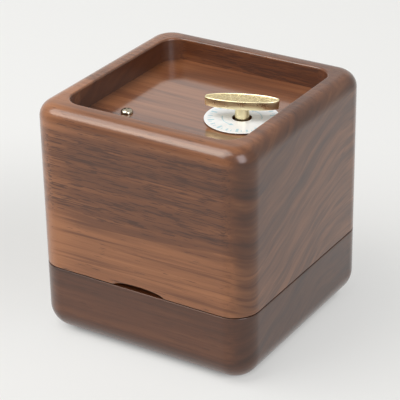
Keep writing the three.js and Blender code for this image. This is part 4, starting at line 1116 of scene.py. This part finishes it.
def dressed(material, *names, ease=part_ease):
    """Gives CAD nodes their finish and eases their edges by modifiers, with their meshes as they are."""
    for name in names:
        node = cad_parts[name]
        for layer in ("custom_normal", "sharp_edge", "sharp_face"):
            if layer in node.data.attributes:
                node.data.attributes.remove(node.data.attributes[layer])
        node.data.shade_smooth()
        node.data.materials.clear()
        node.data.materials.append(material)
        node.modifiers.new("weld", "WELD").merge_threshold = weld_distance
        if ease:
            add_ease(node, ease)
        node.modifiers.new("split", "EDGE_SPLIT").split_angle = sharp_angle


plated_steel = metal("plated_steel", (0.64, 0.64, 0.63), (0.50, 0.49, 0.47), 0.27)
machined_brass = metal("machined_brass", (0.80, 0.62, 0.29), (0.60, 0.43, 0.19), 0.24)
dressed(plated_steel, "bedplate", "bearing_left", "bearing_right")
dressed(machined_brass, "governor_bracket")

# Spring motor. A drawn steel housing with the blued mainspring coiled in it, round the winding arbor
# that the key turns. The great wheel on the arbor drives the cylinder.
wheel_ease = 0.03 * MM
drawn_ease = 0.1 * MM
blued_steel = metal("blued_steel", (0.17, 0.20, 0.30), (0.10, 0.10, 0.14), 0.3)
dressed(plated_steel, "spring_housing", ease=drawn_ease)
dressed(blued_steel, "mainspring", ease=0)
dressed(steel, "winding_arbor")
dressed(machined_brass, "great_wheel", ease=wheel_ease)

# Comb. Eighteen tuned steel teeth cut from one plate, which two brass screws hold to a blued steel seat
# under the bedplate. The pins of the drum pluck their tips.
tooth_ease = 0.02 * MM
comb_steel = metal("comb_steel", (0.56, 0.57, 0.59), (0.44, 0.44, 0.46), 0.2)
dressed(comb_steel, "comb", ease=tooth_ease)
dressed(blued_steel, "comb_seat")
dressed(machined_brass, "comb_screw_1", "comb_screw_2")

# Cylinder. A thin brass drum set with pins, on a steel arbor, with a nylon pinion at the spring's end
# and a brass wheel at the governor's end.
nylon = mottled(
    "natural_nylon", (0.80, 0.77, 0.67), (0.86, 0.84, 0.77), 700, detail=3, bump=(0.2, 0.02 * MM),
    Roughness=0.4, Subsurface_Weight=0.1,
)[0]
dressed(machined_brass, "cylinder_drum", ease=0)
dressed(steel, "cylinder_arbor")
dressed(nylon, "cylinder_pinion", ease=wheel_ease)
dressed(machined_brass, "cylinder_wheel", ease=wheel_ease)

# Governor. A brass pinion and a nylon worm wheel on one arbor turn a steel worm, whose two-bladed
# nylon fly beats the air and keeps the tune's speed.
dressed(steel, "governor_arbor")
dressed(machined_brass, "governor_pinion", ease=wheel_ease)
dressed(nylon, "governor_wheel", ease=wheel_ease)
dressed(steel, "worm", ease=0)
dressed(nylon, "fly")

# Turntable drive. A brass wheel on the winding arbor turns a nylon wheel on the spindle, which runs in
# a flanged brass bush that is pressed into the deck.
dressed(machined_brass, "turntable_drive_wheel", ease=wheel_ease)
dressed(nylon, "turntable_wheel", ease=wheel_ease)
dressed(steel, "turntable_spindle")
dressed(machined_brass, "spindle_bush", ease=drawn_ease)

# Stop. A brass rod with a side arm slides in the case's wall. The lid holds it in, so its arm stands in
# the fly's way. A steel spring pushes it out when the box opens.
rod_ease = 0.15 * MM
dressed(machined_brass, "stop_rod", ease=rod_ease)
dressed(blued_steel, "stop_spring", ease=0)

# Turntable. A polished brass disc with two grooves turned in its face. Its back is bored for the end of
# the spindle, on which it is pressed close to the deck.
turntable_low, turntable_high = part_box("turntable")
turntable_radius = 10 * MM
turntable_ease = 0.5 * MM
turntable_ease_steps = 6
turntable_sides = 128
groove_radii = (5.6 * MM, 8.2 * MM)
groove_depth = 0.15 * MM
spindle_hole = 1.5 * MM
spindle_hole_foot = turntable_high.z - 1.4 * MM
groove_floor = turntable_low.z + groove_depth
turntable_profile = [(0, turntable_low.z)]
for groove in groove_radii:
    turntable_profile += [
        (groove, turntable_low.z), (groove + groove_depth, groove_floor),
        (groove + 3 * groove_depth, groove_floor), (groove + 4 * groove_depth, turntable_low.z),
    ]
for sine, cosine in quarter(turntable_ease_steps):
    turntable_profile.append((
        turntable_radius - turntable_ease * (1 - sine), turntable_low.z + turntable_ease * (1 - cosine),
    ))
turntable_profile += [
    (turntable_radius, turntable_high.z - groove_depth), (turntable_radius - groove_depth, turntable_high.z),
    (spindle_hole, turntable_high.z), (spindle_hole, spindle_hole_foot), (0, spindle_hole_foot),
]
turntable = place(turned("brass_turntable", turntable_profile, turntable_sides), shift(turn_x, turn_y, 0))
finished(turntable, polished_brass, "polished_brass", "turntable", "turntable")

# Ballerina. One small plastic moulding, painted by hand and glued to the turntable by one toe. The
# figure is made standing up, in shares of its height, and turned over with the box.
figure_height = 33 * MM
figure_stand = turntable_low.z - 0.1 * MM
figure_voxel = 0.19 * MM
smoothing_strength = 0.5
smoothing_rounds = 3
limb_steps = 6
limb_sides = 20
limb_end = [(0.94, 0.34), (0.71, 0.71), (0.34, 0.94), (0, 1)]
egg_rows = 16
egg_sides = 24


def share_place(x, y, z):
    return Vector((x, y, z)) * figure_height


def tapered(chain):
    """A rounded limb through rows of x, y, z, half width and half depth, as shares of the height. A row
    that has no half depth is round."""
    chain = [(*row, row[-1])[:5] for row in chain]
    last = len(chain) - 1
    smooth = []
    for index in range(last):
        before, start, end, after = (chain[min(max(index + k, 0), last)] for k in (-1, 0, 1, 2))
        for step in range(limb_steps):
            t = step / limb_steps
            smooth.append([
                0.5 * (
                    2 * b + (c - a) * t + (2 * a - 5 * b + 4 * c - d) * t * t
                    + (3 * b - a - 3 * c + d) * t ** 3
                )
                for a, b, c, d in zip(before, start, end, after)
            ])
    smooth.append(chain[-1])
    places = [share_place(*row[:3]) for row in smooth]
    rings = []
    last = len(places) - 1
    for index, point in enumerate(places):
        width, depth = [share * figure_height for share in smooth[index][3:]]
        along = (places[min(index + 1, last)] - places[max(index - 1, 0)]).normalized()
        side = Vector((0, 1, 0)).cross(along)
        side = side.normalized() if side.length > 0.2 else Vector((1, 0, 0)).cross(along).normalized()
        other = along.cross(side)
        caps = [(0, 1)]
        if index == 0:
            caps = [(-ahead, share) for ahead, share in limb_end]
        if index == last:
            caps = limb_end[::-1]
        for ahead, share in caps:
            rings.append([
                point + along * ahead * min(width, depth)
                + side * width * share * math.cos(turn) + other * depth * share * math.sin(turn)
                for turn in (2 * math.pi * k / limb_sides for k in range(limb_sides))
            ])
    return lofted("limb", rings)


def rounded(middle, half_widths):
    """An egg, with its middle and its half widths in shares of the height."""
    profile = [(0, -1)]
    for row in range(1, egg_rows):
        angle = -math.pi / 2 + math.pi * row / egg_rows
        profile.append((math.cos(angle), math.sin(angle)))
    egg = turned("egg", [*profile, (0, 1)], egg_sides)
    widths = [share * figure_height for share in half_widths]
    return place(egg, Matrix.Diagonal((*widths, 1)), Matrix.Translation(share_place(*middle)))


def moulded(name, parts):
    """The parts run together into one closed skin."""
    made = joined(name, parts)
    remesh = made.modifiers.new("remesh", "REMESH")
    remesh.mode = "VOXEL"
    remesh.voxel_size = figure_voxel
    smooth = made.modifiers.new("smooth", "SMOOTH")
    smooth.factor = smoothing_strength
    smooth.iterations = smoothing_rounds
    settle(made)
    return made


def mirrored(row, side):
    return (side * row[0], *row[1:])


def both_sides(chain):
    return [tapered([mirrored(row, side) for row in chain]) for side in (-1, 1)]


def painted(name, shade, other_shade, roughness=0.32, coat=0.3, scale=900):
    return mottled(
        name, shade, other_shade, scale, detail=3, bump=(0.15, 0.01 * MM),
        Roughness=roughness, Coat_Weight=coat, Coat_Roughness=0.25,
    )[0]


def set_up(piece, material, slot, *nodes, degrees=35):
    """Turns a piece of the figure over, sets it on the turntable and finishes it."""
    place(piece, over, shift(turn_x, turn_y, figure_stand))
    finished(piece, material, slot, "turntable", *nodes, degrees=degrees)


torso = [
    (0, 0, 0.500, 0.056, 0.048), (0, 0, 0.535, 0.064, 0.054), (0, 0, 0.580, 0.055, 0.046),
    (0, 0, 0.625, 0.043, 0.035), (0, -0.002, 0.670, 0.049, 0.039), (0, -0.004, 0.720, 0.057, 0.044),
    (0, -0.002, 0.755, 0.061, 0.039), (0, 0, 0.785, 0.058, 0.031),
]
standing_leg = [
    (0, 0, 0.016, 0.011), (0, 0, 0.045, 0.0165), (0, 0.001, 0.085, 0.0165), (0, 0.005, 0.140, 0.023),
    (0, 0.009, 0.205, 0.032), (0, 0.003, 0.260, 0.028), (0, -0.003, 0.300, 0.026),
    (0.002, -0.002, 0.350, 0.034), (0.005, 0, 0.420, 0.042), (0.013, 0, 0.485, 0.048),
    (0.020, 0, 0.530, 0.048),
]
lifted_thigh = [
    (-0.028, 0, 0.525, 0.047), (-0.065, -0.045, 0.490, 0.043), (-0.100, -0.092, 0.458, 0.034),
    (-0.128, -0.128, 0.430, 0.027),
]
lifted_shin = [
    (-0.130, -0.130, 0.430, 0.026), (-0.110, -0.112, 0.402, 0.031), (-0.084, -0.088, 0.370, 0.025),
    (-0.055, -0.060, 0.335, 0.0165), (-0.042, -0.045, 0.308, 0.0155), (-0.031, -0.031, 0.284, 0.010),
]
arm = [
    (0.060, 0, 0.782, 0.025), (0.086, -0.003, 0.805, 0.023), (0.118, -0.010, 0.850, 0.020),
    (0.150, -0.016, 0.898, 0.0175), (0.169, -0.020, 0.932, 0.0155), (0.160, -0.026, 0.975, 0.0165),
    (0.132, -0.031, 1.020, 0.0135), (0.100, -0.035, 1.058, 0.010), (0.080, -0.037, 1.076, 0.0115, 0.008),
    (0.056, -0.039, 1.090, 0.0095, 0.0075), (0.042, -0.040, 1.095, 0.0065),
]
neck = [(0, 0.002, 0.785, 0.027), (0, 0.003, 0.825, 0.020), (0, 0, 0.870, 0.022)]
nose = [(0, -0.052, 0.912, 0.004), (0, -0.060, 0.892, 0.0055), (0, -0.063, 0.884, 0.006)]
hips = ((0, 0.012, 0.525), (0.052, 0.048, 0.040))
skull = ((0, -0.002, 0.908), (0.049, 0.057, 0.064))
jaw = ((0, -0.022, 0.872), (0.033, 0.034, 0.030))
bust = ((0.023, -0.032, 0.722), (0.021, 0.018, 0.021))
cheek = ((0.021, -0.034, 0.886), (0.017, 0.018, 0.017))
eyelid = ((0.0185, -0.0475, 0.906), (0.0095, 0.0065, 0.0055))
ear = ((0.049, 0.004, 0.900), (0.006, 0.010, 0.014))
body_parts = [tapered(limb) for limb in (torso, standing_leg, lifted_thigh, lifted_shin)]
body_parts += [rounded(*hips), tapered(neck), rounded(*skull), rounded(*jaw), tapered(nose)]
for side, limb in zip((-1, 1), both_sides(arm)):
    body_parts.append(limb)
    body_parts += [rounded(mirrored(middle, side), widths) for middle, widths in (bust, cheek, eyelid, ear)]
figure = moulded("painted_ballerina", body_parts)

# The paint changes along four planes, which are cut into the skin's mesh.
shoe_top = 0.066
satin_low = 0.500
satin_high = 0.600
upright = Vector((0, 0, 1))
lifted_ankle = Vector((-0.050, -0.054, 0.322))
lifted_toeward = Vector((0.45, 0.45, -0.77))
lifted_shoe_reach = 0.08
lifted_shoe_side = -0.012
paint_cuts = [(Vector((0, 0, height)), upright) for height in (shoe_top, satin_low, satin_high)]
paint_cuts.insert(1, (lifted_ankle, lifted_toeward))
work = bmesh.new()
work.from_mesh(figure.data)
for spot, facing in paint_cuts:
    bmesh.ops.bisect_plane(
        work, geom=work.verts[:] + work.edges[:] + work.faces[:],
        plane_co=spot * figure_height, plane_no=facing,
    )
work.to_mesh(figure.data)
work.free()
skin_paint = painted("skin_paint", (0.80, 0.52, 0.40), (0.87, 0.60, 0.49))
satin_paint = painted("rose_paint", (0.76, 0.36, 0.42), (0.84, 0.46, 0.51), 0.25, 0.6)
hair_paint = painted("hair_paint", (0.050, 0.024, 0.014), (0.095, 0.048, 0.027), 0.35, 0.4, 2500)
lip_paint = painted("lip_paint", (0.55, 0.13, 0.12), (0.62, 0.19, 0.17))
lash_paint = painted("lash_paint", (0.040, 0.022, 0.018), (0.070, 0.040, 0.030))


def figure_paint(face):
    """1 on the shoes and on the hips, which are satin, and 0 on the skin."""
    middle = Vector(face.center) / figure_height
    from_ankle = middle - lifted_ankle
    past_ankle = from_ankle.dot(lifted_toeward) > 0 and from_ankle.length < lifted_shoe_reach
    lifted_shoe = past_ankle and middle.x < lifted_shoe_side
    return 1 if middle.z < shoe_top or lifted_shoe or satin_low < middle.z < satin_high else 0


face_finishes(figure, (skin_paint, satin_paint), figure_paint)
set_up(figure, None, "painted_figure", "ballerina_figure", degrees=60)

bodice_gap = 0.0055
bodice_parts = [tapered([(x, y, z, w + bodice_gap, d + bodice_gap) for x, y, z, w, d in torso])]
for side in (-1, 1):
    bodice_parts.append(rounded(mirrored(bust[0], side), [girth + bodice_gap for girth in bust[1]]))
bodice = moulded("ballerina_bodice", bodice_parts)
bodice_room = block("room", share_place(-0.2, -0.2, 0.572), share_place(0.2, 0.2, 0.745))
boolean(bodice, "INTERSECT", bodice_room)
set_up(bodice, satin_paint, "painted_figure", degrees=60)

shoulder_strap = [
    (0.034, -0.049, 0.738, 0.005), (0.041, -0.040, 0.768, 0.005), (0.044, -0.020, 0.800, 0.005),
    (0.043, 0.006, 0.809, 0.005), (0.040, 0.030, 0.790, 0.005), (0.036, 0.043, 0.738, 0.005),
]
ankle_ribbons = ((0.078, 0.0175), (0.094, 0.0190))
ribbon_half = 0.003
ribbon_sides = 32
trim_parts = both_sides(shoulder_strap)
for height, girth in ankle_ribbons:
    low, high = [share * figure_height for share in (height - ribbon_half, height + ribbon_half)]
    inner, outer = [share * figure_height for share in (girth, girth + ribbon_half)]
    ribbon_profile = [(inner, low), (outer, low), (outer, high), (inner, high), (inner, low)]
    trim_parts.append(turned("ribbon", ribbon_profile, ribbon_sides))
set_up(joined("ballerina_straps", trim_parts), satin_paint, "painted_figure")

hair = rounded((0, 0.003, 0.914), (0.0545, 0.0600, 0.0665))
brow_slope = Matrix.Rotation(math.radians(-24), 4, "X")
brow_cut = block("cut", (-5 * MM, -8 * MM, -6 * MM), (5 * MM, 0, 0))
place(brow_cut, brow_slope, Matrix.Translation(share_place(0, 0.012, 0.9485)))
boolean(hair, "DIFFERENCE", brow_cut)
bun_coils = [
    rounded((0, 0.032, 0.962), (0.027, 0.025, 0.022)), rounded((0, 0.036, 0.972), (0.021, 0.019, 0.021)),
    rounded((0, 0.039, 0.981), (0.013, 0.012, 0.016)),
]
set_up(joined("ballerina_hair", [hair, *bun_coils]), hair_paint, "painted_figure")

lash = [
    (0.0105, -0.0530, 0.9035, 0.0012), (0.0185, -0.0548, 0.9012, 0.0015), (0.0270, -0.0500, 0.9035, 0.0012),
]
brow = [
    (0.0090, -0.0560, 0.9200, 0.0010), (0.0190, -0.0545, 0.9240, 0.0014), (0.0290, -0.0470, 0.9205, 0.0010),
]
set_up(joined("ballerina_lashes", both_sides(lash) + both_sides(brow)), lash_paint, "painted_figure")
upper_lip = ((0, -0.0550, 0.8672), (0.0105, 0.0030, 0.0024))
lower_lip = ((0, -0.0548, 0.8638), (0.0085, 0.0032, 0.0026))
set_up(joined("ballerina_lips", [rounded(*upper_lip), rounded(*lower_lip)]), lip_paint, "painted_figure")

# Tutu. Three rings of stiffened net, each cut larger than it lies and gathered into radial pleats round
# the waist. They are glued under the bodice's hem, one above another.
tutu_waist = 0.062 * figure_height
tutu_height = 0.585 * figure_height
tutu_thickness = 0.06 * MM
tutu_rows = 12
pleat_steps = 8
pleat_growth = 0.8
sway_height = 0.25 * MM
sway_waves = 3
pink_net, tree, shader = mottled(
    "pink_net", (0.90, 0.66, 0.72), (0.95, 0.80, 0.84), 250, Roughness=0.75, Sheen_Weight=0.3,
)
net_cells = texture(
    tree, "ShaderNodeTexVoronoi", {"Scale": 3200, "Randomness": 0.35}, feature="DISTANCE_TO_EDGE",
)
fill(shader, {"Alpha": spread(tree, net_cells["Distance"], 0.06, 0.14, 1.0, 0.5, "LINEAR")})

# Each ring's name, hem radius, width as cut, lift of the hem, count and height of its pleats, and the
# angle at which they start.
tutu_rings = [
    ("upper", 9.8 * MM, 21 * MM, 0.55 * MM, 26, 0.45 * MM, 0.0),
    ("middle", 10.3 * MM, 22 * MM, 0.05 * MM, 30, 0.50 * MM, 0.8),
    ("lower", 10.6 * MM, 23 * MM, -0.55 * MM, 34, 0.50 * MM, 1.9),
]
for ring_name, hem, cut_width, lift, pleats, pleat_height, start in tutu_rings:
    count = pleats * pleat_steps
    side_points = (tutu_rows + 1) * count
    points = []
    for face_side in (-0.5, 0.5):
        for row in range(tutu_rows + 1):
            share = row / tutu_rows
            radius = tutu_waist + (hem - tutu_waist) * share
            for step in range(count):
                angle = 2 * math.pi * step / count
                wave = pleat_height * share ** pleat_growth * math.sin(pleats * angle + start)
                sway = sway_height * share * share * math.sin(sway_waves * angle + 2 * start)
                height = tutu_height + lift * share + wave + sway + face_side * tutu_thickness
                points.append((radius * math.cos(angle), radius * math.sin(angle), height))
    faces = []
    rim = tutu_rows * count
    for step in range(count):
        after = (step + 1) % count
        for row_start in range(0, rim, count):
            a = row_start + step
            b = row_start + after
            faces.append((a, a + count, b + count, b))
            faces.append(tuple(point + side_points for point in (a, b, b + count, a + count)))
        faces.append((step, after, after + side_points, step + side_points))
        faces.append((rim + step, rim + step + side_points, rim + after + side_points, rim + after))
    net = tidy_normals(new_object(f"tutu_{ring_name}_net", points, faces))
    set_up(net, pink_net, "tutu_net", "ballerina_tutu", degrees=80)
